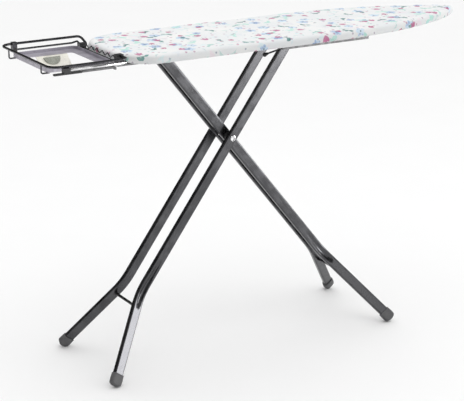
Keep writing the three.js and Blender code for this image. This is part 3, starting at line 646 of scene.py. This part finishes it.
def simulate_skirt(rings, looseness):
    """Cloth slightly too long for the edge it wraps, pinned on the top and under the rim."""
    count = len(rings[0])
    verts, faces = skin([[Vector(p) for p in ring] for ring in rings], caps=False)
    mesh = bpy.data.meshes.new("skirt_sim")
    mesh.from_pydata(verts, [], faces)
    obj = bpy.data.objects.new("skirt_sim", mesh)
    bpy.context.scene.collection.objects.link(obj)
    pin = obj.vertex_groups.new(name="pin")
    loose = obj.vertex_groups.new(name="loose")
    for ring in range(len(rings)):
        members = list(range(ring * count, (ring + 1) * count))
        if not FREE_FROM <= ring < FREE_TO:
            pin.add(members, 1.0, "REPLACE")
        for i in members:
            loose.add([i], float(looseness[i % count]), "REPLACE")
    cloth = obj.modifiers.new("cloth", "CLOTH")
    for setting, value in COTTON_CLOTH.items():
        setattr(cloth.settings, setting, value)
    cloth.settings.effector_weights.gravity = 0.3
    scene = bpy.context.scene
    for step in range(1, CLOTH_STEPS + 1):
        scene.frame_set(step)
    graph = bpy.context.evaluated_depsgraph_get()
    result = obj.evaluated_get(graph).to_mesh()
    moved = np.array([v.co for v in result.vertices]).reshape(len(rings), count, 3)
    bpy.data.objects.remove(obj)
    scene.frame_set(1)
    return moved


def strap_room(points):
    """Lifts the hem where the iron rest's straps pass under it."""
    for name in SIDES:
        low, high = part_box(f"rest_strap_{name}")
        reach = (high.y - low.y) / 2 + 0.011 - np.abs(points[:, :, 1] - (low.y + high.y) / 2)
        near = np.clip(reach / 0.009, 0, 1) * (points[:, :, 0] < high.x)
        near = near * near * (3 - 2 * near)
        lifted = np.maximum(points[:, :, 2], high.z + 0.45 * MM)
        points[:, :, 2] += (lifted - points[:, :, 2]) * near
    return points


def make_cover():
    outline = board_outline(0)
    looseness = curl(outline)
    profile = edge_profile()
    rings = np.array([rim_ring(d * MM, TOP - z * MM) for d, z in profile])
    flat = rings.copy()
    moved = simulate_skirt(rings[SKIRT_RINGS], looseness)
    change = moved - rings[SKIRT_RINGS]
    outward = rings[WIDEST_RING, :, :2] - rings[0, :, :2]
    outward /= np.linalg.norm(outward, axis=1)[:, None]
    out = np.clip((change[:, :, :2] * outward[None]).sum(2), -MOST_IN, MOST_OUT)
    rings[SKIRT_RINGS, :, :2] += out[:, :, None] * outward[None]
    rings[SKIRT_RINGS, :, 2] += np.clip(change[:, :, 2], -MOST_IN, MOST_UP)
    # Pleats gather under the rim, towards the drawcord.
    wave = 0.5 + 0.5 * wave_along(outline, 0.0019, (2.1, 0.013), (1.3, 0.047))
    depth = np.clip((np.array([d for d, _ in profile]) - 4) / 14, 0, 1)
    depth[:PLEATS_FROM] = 0
    depth[len(EDGE_PROFILE):] = 1
    rings[:, :, 2] -= depth[:, None] * PLEAT * (0.35 + 0.65 * looseness)[None] * wave[None]
    sway = ((0.3 + looseness) * (wave - 0.5))[None, :, None] * outward[None]
    rings[:, :, :2] += (depth * 0.8 * MM)[:, None, None] * sway
    rings = strap_room(rings)

    # The flat of the top: rings that close onto a line down the middle.
    edge = rings[0, :, :2]
    spine = spine_of(edge)
    inner = []
    for share in TOP_RINGS[::-1]:
        place_xy = spine + (edge - spine) * share
        swell = [noise.noise(Vector((x * 9, y * 9, 0.3))) for x, y in place_xy]
        lift = [CROWN * (1 - share ** 2) + 0.35 * MM * one * (1 - share ** 6) for one in swell]
        inner.append(np.column_stack([place_xy, TOP + np.array(lift)]))
    grid = np.concatenate([np.array(inner), rings])

    # Where each point lies on the flat cloth before it is wrapped, for the print.
    steps = np.linalg.norm(np.diff(flat, axis=0), axis=2)
    run = np.concatenate([np.zeros((1, len(outline))), np.cumsum(steps, 0)])
    flat_rings = flat[0, :, :2][None] + run[:, :, None] * outward[None]
    cut = np.concatenate([np.array(inner)[:, :, :2], flat_rings]).reshape(-1, 2)

    verts, faces = skin([[Vector(p) for p in ring] for ring in grid], caps=False)
    mesh = bpy.data.meshes.new("cotton_cover")
    mesh.from_pydata(verts, [], faces)
    attribute = mesh.attributes.new("cut", "FLOAT_VECTOR", "POINT")
    attribute.data.foreach_set("vector", np.column_stack([cut, np.zeros(len(cut))]).ravel())
    obj = bpy.data.objects.new("cotton_cover", mesh)
    bpy.context.scene.collection.objects.link(obj)
    mesh.materials.append(COTTON)
    sewn(mesh)
    mesh.polygons.foreach_set("use_smooth", [True] * len(mesh.polygons))
    shell = obj.modifiers.new("cloth_thickness", "SOLIDIFY")
    shell.thickness = 0.5 * MM
    shell.offset = -1
    place(obj, "board", "cover")


# The felt's edge: how far in from the outline, and how far up, in millimetres.
FELT_PROFILE = [(30, 0.15), (9, 0.0), (6.4, 0.2), (5.4, 1.0), (5.2, 2.4), (6.0, 4.0), (8.4, 5.4),
                (13, 6.5), (24, 7.2)]
FELT_SHARES = [0.0, 0.12, 0.25, 0.4, 0.55, 0.7, 0.85]


def make_felt():
    """The padding: a soft-edged sheet of felt between the cover and the mesh."""
    low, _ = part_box("underlay_pad")
    rings = [rim_ring(d * MM, low.z + z * MM) for d, z in FELT_PROFILE]

    def closing(edge, height, order):
        spine = spine_of(edge)
        made = []
        for share in order:
            xy = spine + (edge - spine) * share
            lift = [0.25 * MM * noise.noise(Vector((x * 60, y * 60, height))) for x, y in xy]
            made.append(np.column_stack([xy, np.maximum(low.z + 0.05 * MM, height + np.array(lift))]))
        return made

    under = closing(rings[0][:, :2], rings[0][0, 2], FELT_SHARES)
    over = closing(rings[-1][:, :2], rings[-1][0, 2], FELT_SHARES[::-1])
    verts, faces = skin([[Vector(p) for p in ring] for ring in under + rings + over], caps=False)
    obj = add_object("felt_underlay", verts, faces, FELT, 80)
    sewn(obj.data)
    place(obj, "board", "underlay_pad")


def inside_plan(x, y, inset):
    """Whether a point is inside the board's plan at an inset."""
    half = BOARD_HALF - inset
    along = x - TAIL
    if along < inset or along > BOARD_LENGTH - inset:
        return False
    if along < TAIL_CORNER:
        dx = TAIL_CORNER - along
        dy = max(0.0, abs(y) - (BOARD_HALF - TAIL_CORNER))
        return math.hypot(dx, dy) < TAIL_CORNER - inset if dy else along > inset
    share = max(0.0, (along - TAPER_START) / (BOARD_LENGTH - inset - TAPER_START))
    return abs(y) < tapered(half, share)


MESH_HALF_X = 0.0125
MESH_HALF_Y = 0.00575
MESH_START = 0.010
MESH_INSET = 0.0135
MESH_STRAND = 1.9 * MM


def make_mesh_top():
    """Expanded steel: diamonds of flat strand."""
    _, _, middle = span("mesh_top")
    columns = int(BOARD_LENGTH / (2 * MESH_HALF_X))
    rows = int(BOARD_HALF / (2 * MESH_HALF_Y))
    verts = []
    index = {}

    def spot(i, j):
        """Where the lattice point i half pitches along and j half pitches across is."""
        return TAIL + MESH_START + i * MESH_HALF_X, j * MESH_HALF_Y

    def corner(i, j):
        if (i, j) not in index:
            index[(i, j)] = len(verts)
            verts.append((*spot(i, j), middle.z))
        return index[(i, j)]

    faces = []
    for i in range(1, 2 * columns):
        for j in range(-2 * rows, 2 * rows + 1):
            if (i + j) % 2 == 0 and inside_plan(*spot(i, j), MESH_INSET):
                faces.append((corner(i - 1, j), corner(i, j - 1), corner(i + 1, j), corner(i, j + 1)))
    obj = add_object("expanded_mesh", verts, faces, FRAME_STEEL)
    lattice = obj.modifiers.new("strands", "WIREFRAME")
    lattice.thickness = MESH_STRAND
    lattice.use_even_offset = False
    place(obj, "board", "mesh_top")


# Legs ------------------------------------

class Leg:
    """Centreline and directions of one leg tube."""

    def __init__(self, pair, side):
        top = pair["top"]
        y = side * pair["half"]
        up = Vector((top.x - PIVOT_POINT.x, 0, top.z - PIVOT_POINT.z)).normalized()
        bend_x = PIVOT_POINT.x + (pair["bend_z"] - PIVOT_POINT.z) / up.z * up.x
        self.start = Vector((top.x, y, top.z)) + up * TUBE_END
        self.bend = Vector((bend_x, y, pair["bend_z"]))
        self.foot = Vector((pair["foot"], side * pair["foot_half"], 0))
        self.down = (self.foot - self.bend).normalized()
        self.deep = Vector((up.z, 0, -up.x))
        self.across = self.down.cross(self.deep).normalized()

    def at(self, distance):
        """A point on the splayed run, counted from where it would meet the floor."""
        return self.foot + self.down * distance


PIVOT_POINT = Vector((-0.1085, 0.0, 0.6326))
SLIDE_TOP = Vector((0.0760, 0.0, 0.886))
HINGE_TOP = Vector((-0.31319, 0.0, 0.886))
PAIRS = {
    "outer": {"body": "outer_leg", "top": SLIDE_TOP, "foot": -0.5691, "half": 0.050, "foot_half": 0.1778,
              "bend_z": 0.212, "bend_radius": 0.150, "look": LEG_OUTER, "dent": (0.150, 0.044)},
    "inner": {"body": "inner_leg", "top": HINGE_TOP, "foot": 0.4025, "half": 0.022, "foot_half": 0.1759,
              "bend_z": 0.217, "bend_radius": 0.130, "look": LEG_INNER, "dent": (0.105, 0.045)},
}
SHOE_LENGTH = 0.034
SHOE_WALL = 0.0028
SHOE_ARCH = 0.026
SHOE_SOLE = 0.007
SHOE_FLAT = 0.0025
DENT_DEPTH = 0.0064
DENT_HALF = 0.0098
DENT_EDGE = 0.3


def shoe_tip(leg):
    """How far past the floor point the shoe's arched end would reach."""
    arch_drop = SHOE_ARCH * math.hypot(leg.down.z, leg.deep.z)
    edge_drop = (TUBE_WIDTH / 2 + SHOE_WALL) * abs(leg.across.z)
    return (arch_drop + edge_drop - SHOE_FLAT) / leg.down.z + SHOE_ARCH


def make_tube(name, pair_name, pair, side):
    leg = Leg(pair, side)
    corners = [leg.start, leg.bend, leg.at(shoe_tip(leg) - SHOE_SOLE)]
    path = evenly(bent(corners, pair["bend_radius"], 24), 0.006)
    bend_distance = (leg.bend - leg.start).length
    above, below = pair["dent"]
    section = rounded_rectangle(TUBE_DEPTH / 2, TUBE_WIDTH / 2, TUBE_CORNER, 5, 16, 3)
    out_sign = 1 if (leg.start - leg.bend).cross(leg.deep).dot(Vector((0, side, 0))) < 0 else -1

    def dent(distance, a, b):
        """The crush mark on the inside of the bend: long above it, with a round lower end."""
        face = b * out_sign / (TUBE_WIDTH / 2)
        if face < DENT_EDGE:
            return a, b
        s = distance - bend_distance
        if s < 0:
            along = max(0.0, 1 + s / above)
            along = (along * along * (3 - 2 * along)) ** 1.1
        else:
            along = max(0.0, 1 - (s / below) ** 2) ** 0.5
        half = DENT_HALF * (0.35 + 0.65 * along)
        across = max(0.0, 1 - (a / half) ** 2)
        depth = DENT_DEPTH * along * across ** 1.2 * (face - DENT_EDGE) / (1 - DENT_EDGE)
        return a, b - out_sign * depth

    verts, faces = sweep(path, section, first_side=leg.deep, shape=dent)
    obj = add_object(name, verts, faces, pair["look"], 40)
    place(obj, pair["body"], f"{pair_name}_leg_tube_{'near' if side < 0 else 'far'}")
    return leg


def make_shoe(name, node, leg, body):
    """A rubber shoe: a sleeve on the tube, arched across its depth and worn flat where it stands."""
    tip = shoe_tip(leg)
    top = leg.at(tip - SHOE_LENGTH)
    half_a = TUBE_DEPTH / 2 + SHOE_WALL
    half_b = TUBE_WIDTH / 2 + SHOE_WALL
    corner = TUBE_CORNER + SHOE_WALL

    def ring(grow, distance, arch=0.0):
        points = []
        for a, b in rounded_rectangle(half_a + grow, half_b + grow, max(0.001, corner + grow), 6, 14, 4):
            rise = SHOE_ARCH - math.sqrt(max(0.0, SHOE_ARCH ** 2 - a * a))
            points.append(top + leg.deep * a + leg.across * b + leg.down * (distance - rise * arch))
        return points

    inner = -SHOE_WALL + 0.0002
    rings = [ring(inner, 0.012), ring(inner, 0.0006), ring(-SHOE_WALL * 0.75, 0.0), ring(-0.0008, 0.0),
             ring(-0.0002, 0.0003), ring(0.0001, 0.0010), ring(0.0001, 0.0028), ring(-0.00045, 0.0036),
             ring(-0.00045, 0.0046), ring(0.0, 0.0054)]
    steps = 10
    for i in range(1, steps):
        rings.append(ring(0.0004 * math.sin(math.pi * i / steps), 0.0054 + (SHOE_LENGTH - 0.0074) * i / steps,
                          (i / steps) ** 2))
    rings += [ring(-0.0003, SHOE_LENGTH - 0.0013, 1), ring(-0.0010, SHOE_LENGTH - 0.0004, 1),
              ring(-0.0020, SHOE_LENGTH, 1)]
    last = rings[-1]
    for share in (0.75, 0.5, 0.25, 0.02):
        rings.append([p - leg.across * (p - top).dot(leg.across) * (1 - share) for p in last])
    verts, faces = skin(rings, caps=False)
    verts = [Vector((v.x, v.y, max(v.z, 0.0002))) for v in verts]
    obj = add_object(name, verts, faces, RUBBER, 50)
    place(obj, body, node)


def make_crossbar(pair_name, pair):
    """A round bar, swaged where it enters each tube."""
    low, high, middle = span(f"{pair_name}_leg_crossbar")
    radius = (high.z - low.z) / 2
    reach = high.y
    collar = reach - 0.009
    half = [(0.02, radius), (collar - 0.0035, radius), (collar - 0.0015, radius * 1.25),
            (collar, radius * 1.25), (collar + 0.002, radius), (reach, radius), (reach, radius * 0.7)]
    profile = [(-y, size) for y, size in reversed(half)] + half
    obj = turned(f"{pair_name}_crossbar_rod", profile, middle, DARK_WIRE, 28)
    place(obj, pair["body"], f"{pair_name}_leg_crossbar")


def make_legs():
    for pair_name, pair in PAIRS.items():
        for word, side in SIDES.items():
            leg = make_tube(f"{pair_name}_tube_{word}", pair_name, pair, side)
            make_shoe(f"{pair_name}_shoe_{word}", f"{pair_name}_foot_{word}", leg, pair["body"])
            refine(f"{pair_name}_leg_plug_{word}", BLACK, 0.5 * MM)
        make_crossbar(pair_name, pair)


RIVET_SHAFT = 0.005
RIVET_HEAD = 0.009
RIVET_THICK = 0.0027
SPACER_HOLE = 0.0053
SPACER_EDGE = 0.0008
SPACER_GROOVE = 0.0006


def make_rivet(word, side):
    """A rivet: a flat inner head, a shaft and an outer head with a dimple."""
    low, high, middle = span(f"pivot_rivet_{word}")
    inner, outer = (low.y, high.y) if side > 0 else (high.y, low.y)
    from_inner = [(0.0, 0.0008), (0.0, 0.6 * RIVET_HEAD), (0.001, 0.95 * RIVET_HEAD),
                  (RIVET_THICK, RIVET_HEAD), (RIVET_THICK, RIVET_SHAFT)]
    from_outer = [(RIVET_THICK, RIVET_SHAFT), (RIVET_THICK, RIVET_HEAD),
                  (0.35 * RIVET_THICK, 0.99 * RIVET_HEAD), (0.0003, 0.86 * RIVET_HEAD),
                  (0.0, 0.74 * RIVET_HEAD), (0.0004, 0.62 * RIVET_HEAD),
                  (0.0014, 0.5 * RIVET_HEAD), (0.0016, 0.3 * RIVET_HEAD), (0.0016, 0.0004)]
    profile = [(inner + side * y, radius) for y, radius in from_inner]
    profile += [(outer - side * y, radius) for y, radius in from_outer]
    rivet = turned(f"rivet_{word}", profile, middle, CHROME)
    place(rivet, "outer_leg", f"pivot_rivet_{word}")
    return middle


def make_spacer(word, axis):
    """A black washer with soft edges and a shallow groove."""
    low, high, middle = span(f"pivot_spacer_{word}")
    radius = (high.x - low.x) / 2
    half = [(low.y, SPACER_HOLE), (low.y, radius - SPACER_EDGE),
            (low.y + 0.3 * SPACER_EDGE, radius - 0.3 * SPACER_EDGE), (low.y + SPACER_EDGE, radius),
            (middle.y - 0.001, radius)]
    mirrored = [(2 * middle.y - y, size) for y, size in reversed(half)]
    profile = half + [(middle.y, radius - SPACER_GROOVE)] + mirrored
    spacer = turned(f"spacer_{word}", profile, axis, BLACK, closed_profile=True)
    place(spacer, "outer_leg", f"pivot_spacer_{word}")


def make_pivot():
    for word, side in SIDES.items():
        axis = make_rivet(word, side)
        make_spacer(word, axis)


def plain_rod(name, node, body, look, chamfer=0.6 * MM):
    """A rod along Y with rounded ends."""
    low, high, middle = span(node)
    radius = (high.x - low.x) / 2
    half = [(0.0, 0.0004), (0.0, radius - chamfer), (0.4 * chamfer, radius - 0.3 * chamfer),
            (chamfer, radius)]
    profile = [(low.y + y, size) for y, size in half] + [(0.0, radius)]
    profile += [(high.y - y, size) for y, size in reversed(half)]
    place(turned(name, profile, middle, look, 32), body, node)


def plain_sleeve(name, node, body, look, hole, chamfer=0.5 * MM):
    """A sleeve along Y with a hole through it."""
    low, high, middle = span(node)
    radius = (high.z - low.z) / 2
    half = [(0.0, hole), (0.0, radius - chamfer), (chamfer, radius)]
    profile = [(low.y + y, size) for y, size in half]
    profile += [(high.y - y, size) for y, size in reversed(half)]
    place(turned(name, profile, middle, look, 36, closed_profile=True), body, node)


# Release lever ---------------------------

LEVER_Y = -0.024
LEVER_KNOB = SLIDE_TOP + Vector((-0.057, LEVER_Y, -0.029))
LEVER_ELBOW = SLIDE_TOP + Vector((-0.011, LEVER_Y, -0.0195))
LEVER_START = SLIDE_TOP + Vector((-0.0044, LEVER_Y, -0.0072))
LEVER_WIRE = 0.0026
KNOB_RADIUS = 0.0066
KNOB_NECK = [(-0.0108, 0.0029), (-0.0106, 0.0037), (-0.0094, 0.0041), (-0.0076, 0.0042), (-0.0066, 0.0045)]
SPRING_WIRE = 0.0007
SPRING_EDGE = 0.0008
SPRING_TURNS = 5.5
SPRING_STEPS = 120


def make_lever():
    """The bent release rod with its round knob, and the pawl."""
    along = (LEVER_KNOB - LEVER_ELBOW).normalized()
    corners = [LEVER_START, LEVER_ELBOW, LEVER_KNOB - along * 0.002]
    rod = wire("lever_wire", corners, LEVER_WIRE, 0.008, DARK_WIRE)
    place(rod, "lever", "release_lever")
    side = along.orthogonal().normalized()
    other = along.cross(side)
    ball = []
    for i in range(4, 21):
        angle = math.pi * i / 20
        ball.append((-KNOB_RADIUS * math.cos(angle) * 0.98, max(0.0002, KNOB_RADIUS * math.sin(angle))))
    rings = [[LEVER_KNOB + along * push + side * a + other * b for a, b in circle(size, 32)]
             for push, size in KNOB_NECK + ball]
    place(add_object("knob", *skin(rings), BLACK, 50), "lever", "lever_knob")
    refine("latch_pawl", FRAME_STEEL, 0.4 * MM)


def make_spring():
    """The torsion spring round the slide rod."""
    low, high, _ = span("lever_spring")
    coil_radius = (high.z - low.z) / 2 - SPRING_EDGE
    run = high.y - low.y - 2 * SPRING_EDGE
    path = []
    for i in range(SPRING_STEPS + 1):
        share = i / SPRING_STEPS
        angle = 2 * math.pi * SPRING_TURNS * share
        path.append((SLIDE_TOP.x + coil_radius * math.cos(angle), low.y + SPRING_EDGE + run * share,
                     SLIDE_TOP.z + coil_radius * math.sin(angle)))
    coil = sweep(path, circle(SPRING_WIRE, 10), round_end=0.0004)
    place(add_object("spring_coil", *coil, CHROME), "lever", "lever_spring")


# Iron rest -------------------------------

RAIL_Z = 0.9316
RAIL_LEFT = -0.7215
RAIL_HALF = 0.165
RAIL = [(-0.4955, 0.117, 0.911), (-0.4690, 0.141, 0.911), (-0.4785, RAIL_HALF, RAIL_Z),
        (RAIL_LEFT, RAIL_HALF, RAIL_Z), (RAIL_LEFT, -RAIL_HALF, RAIL_Z),
        (-0.4965, -RAIL_HALF, RAIL_Z), (-0.4965, -0.112, 0.929)]
RAIL_BENDS = [0, 0.015, 0.015, 0.030, 0.030, 0.019, 0]
GUARD = [(-0.6795, RAIL_HALF, 0.9145), (-0.5045, RAIL_HALF, 0.9145), (-0.4915, 0.158, 0.9195),
         (-0.4995, 0.119, 0.918)]
TUBE_ARM = [(-0.5100, -RAIL_HALF, 0.922), (-0.4965, -RAIL_HALF, 0.922), (-0.4965, -0.113, 0.917)]
LATTICE_REACH = 0.099
LATTICE_WAVES = 12
LATTICE_WIRE = 0.0016
HOOK_WIRE = 0.0022
NEAR_TUBE_WALL = 0.0012
# CAD nodes that keep their shape: finish, and edge rounding in millimetres
REST_KEPT = {
    "rest_end_block_near": (BLACK, 1.5), "rest_end_block_far": (BLACK, 1.5), "rest_clamp_near": (BLACK, 1.6),
    "rest_clamp_far": (DARK_WIRE, 1.6), "rest_runner": (BLACK, 0.8), "rest_tray": (TRAY_SHEET, 0.6),
    "rest_strap_near": (FRAME_STEEL, 0.5), "rest_strap_far": (FRAME_STEEL, 0.5),
    "rest_slide_bar": (FRAME_STEEL, 0.5), "heel_plate": (CREAM, 0.5), "heel_pad": (PAD, 0.8),
}


def make_rest():
    """The wire rest for the iron, its tray and its fixings."""
    rail = wire("rail_wire", RAIL, 0.0035, RAIL_BENDS, DARK_WIRE, 18, 12)
    place(rail, "board", "rest_rail")
    place(wire("guard_wire", GUARD, 0.0027, 0.003, DARK_WIRE, 14, 5), "board", "rest_guard_wire")
    place(wire("tube_arm", TUBE_ARM, 0.0028, 0.012, CHROME, 16, 10), "board", "rest_arm_near")
    low, high, bar = span("rest_end_bar")
    ends = [(bar.x, low.y, bar.z), (bar.x, high.y, bar.z)]
    end_bar = wire("end_bar_wire", ends, (high.z - low.z) / 2, 0, DARK_WIRE)
    place(end_bar, "board", "rest_end_bar")
    low, high, _ = span("rest_lattice")
    heights = [low.z + LATTICE_WIRE, high.z - LATTICE_WIRE]
    points = [(bar.x, LATTICE_REACH * (1 - 2 * i / LATTICE_WAVES), heights[i % 2])
              for i in range(LATTICE_WAVES + 1)]
    lattice = wire("lattice_wire", points, LATTICE_WIRE, 0.003, DARK_WIRE, 12, 5)
    place(lattice, "board", "rest_lattice")
    for word in SIDES:
        low, high, middle = span(f"rest_hook_{word}")
        foot = low.z + HOOK_WIRE
        corners = [(RAIL_LEFT, middle.y, high.z), (RAIL_LEFT, middle.y, foot), (high.x, middle.y, foot)]
        hook = wire(f"hook_wire_{word}", corners, HOOK_WIRE, 0.005, DARK_WIRE, 12, 6)
        place(hook, "board", f"rest_hook_{word}")
    for node, (look, bevel) in REST_KEPT.items():
        refine(node, look, bevel * MM)


def make_near_tube():
    """The bright open tube on the near side, along X."""
    low, high, middle = span("rest_tube_near")
    radius = (high.z - low.z) / 2
    profile = [(low.x, radius - 0.0003), (low.x + 0.0004, radius), (high.x - 0.0004, radius),
               (high.x, radius - 0.0003), (high.x, radius - NEAR_TUBE_WALL), (low.x, radius - NEAR_TUBE_WALL)]
    rings = [[Vector((x, middle.y + a, middle.z + b)) for a, b in circle(size, 32)] for x, size in profile]
    place(add_object("near_tube", *skin(rings, closed_path=True), CHROME, 50), "board", "rest_tube_near")


# Under the board -------------------------

def make_underside():
    refine("rim_frame", FRAME_STEEL, 1.4 * MM)
    for word in ("tail", "hinge", "rack_tail", "rack_nose", "nose"):
        refine(f"cross_strut_{word}", FRAME_STEEL, 1.2 * MM)
    for word in SIDES:
        refine(f"slide_rail_{word}", FRAME_STEEL, 0.4 * MM)
        refine(f"hinge_bracket_{word}", FRAME_STEEL, 0.5 * MM)
        plain_sleeve(f"glide_{word}", f"slide_glide_{word}", "outer_leg", BLACK, 0.0043)
    refine("height_rack", FRAME_STEEL, 0.25 * MM)
    plain_rod("hinge_pin_rod", "hinge_pin", "board", CHROME)
    plain_rod("slide_pin_rod", "slide_rod", "outer_leg", CHROME)
    plain_sleeve("hinge_tube", "hinge_sleeve", "inner_leg", DARK_WIRE, 0.0045)


# Studio ----------------------------------

WORLD_SEEN = 1.0
WORLD_LIGHT = 1.74
WORLD_REFLECTED = 0.10
BRIGHT_SIDE = (0.85, 0.35, 0.39)
FLOOR_HALF = 40.0


def aim(obj, target):
    obj.rotation_euler = (Vector(target) - obj.location).to_track_quat("-Z", "Y").to_euler()


def softbox(name, place_at, target, width, height, radiance, only_reflected=True):
    """A soft light that the camera doesn't see, and that shows only in reflections unless told."""
    light = bpy.data.lights.new(name, "AREA")
    light.shape = "RECTANGLE"
    light.size = width
    light.size_y = height
    light.energy = radiance * math.pi * width * height
    obj = bpy.data.objects.new(name, light)
    obj.location = place_at
    aim(obj, target)
    obj.visible_camera = False
    obj.visible_diffuse = not only_reflected
    bpy.context.scene.collection.objects.link(obj)


def make_floor():
    mesh = bpy.data.meshes.new("floor")
    corners = [(-FLOOR_HALF, -FLOOR_HALF, 0), (FLOOR_HALF, -FLOOR_HALF, 0),
               (FLOOR_HALF, FLOOR_HALF, 0), (-FLOOR_HALF, FLOOR_HALF, 0)]
    mesh.from_pydata(corners, [], [(0, 1, 2, 3)])
    floor = bpy.data.objects.new("floor", mesh)
    bpy.context.scene.collection.objects.link(floor)
    paper = Finish("pale_floor", Roughness=0.9)
    fibres = paper.noise(paper.coords(), 3.0)
    paper.set("Base Color", paper.mix(fibres, (0.86, 0.86, 0.86), (0.88, 0.88, 0.88)))
    mesh.materials.append(paper.material)


def make_world():
    """White where the camera sees it, soft light that is brighter from one side, and dark in reflections."""
    world = bpy.data.worlds.new("studio")
    bpy.context.scene.world = world
    nodes = Nodes(world)
    rays = nodes.node("ShaderNodeLightPath").outputs
    direction = nodes.node("ShaderNodeTexCoord").outputs["Generated"]
    towards = nodes.node("ShaderNodeVectorMath", {0: direction, 1: BRIGHT_SIDE}, operation="DOT_PRODUCT")
    light = {"Value": towards.outputs["Value"], "From Min": -1.0, "To Max": WORLD_LIGHT}
    strengths = (WORLD_SEEN, nodes.node("ShaderNodeMapRange", light).outputs[0], WORLD_REFLECTED)
    white = (1.0, 1.0, 1.0)
    seen, lighting, reflected = [
        nodes.node("ShaderNodeBackground", {"Color": white, "Strength": strength}).outputs[0]
        for strength in strengths]
    unseen = nodes.node("ShaderNodeMixShader", {0: rays["Is Glossy Ray"], 1: lighting, 2: reflected})
    surface = nodes.node("ShaderNodeMixShader", {0: rays["Is Camera Ray"], 1: unseen.outputs[0], 2: seen})
    nodes.node("ShaderNodeOutputWorld", {"Surface": surface.outputs[0]})


def make_lights():
    softbox("overhead", (-0.4, -0.5, 3.4), (0.0, 0.0, 0.6), 3.4, 2.6, 0.5, only_reflected=False)
    softbox("right_panel", (2.45, -2.2, 0.70), (0.0, 0.0, 0.45), 1.9, 1.3, 9.0)
    softbox("right_edge", (3.6, 0.6, 0.9), (0.0, 0.0, 0.6), 1.4, 1.6, 4.5)
    softbox("front_panel", (-0.2, -3.6, 1.6), (0.2, 0.0, 0.3), 1.8, 1.4, 1.6)


def make_camera():
    data = bpy.data.cameras.new("camera")
    data.sensor_width = 36.0
    data.lens = 122.80
    data.clip_end = 100.0
    camera = bpy.data.objects.new("camera", data)
    camera.location = (-2.3733, -3.8279, 1.8509)
    aim(camera, (-0.0770, 0.0, 0.4229))
    bpy.context.scene.collection.objects.link(camera)
    bpy.context.scene.camera = camera
    bpy.context.scene.view_settings.view_transform = "Standard"


make_camera()
make_floor()
make_world()
make_lights()
make_cover()
make_felt()
make_mesh_top()
make_underside()
make_legs()
make_pivot()
make_lever()
make_spring()
make_rest()
make_near_tube()
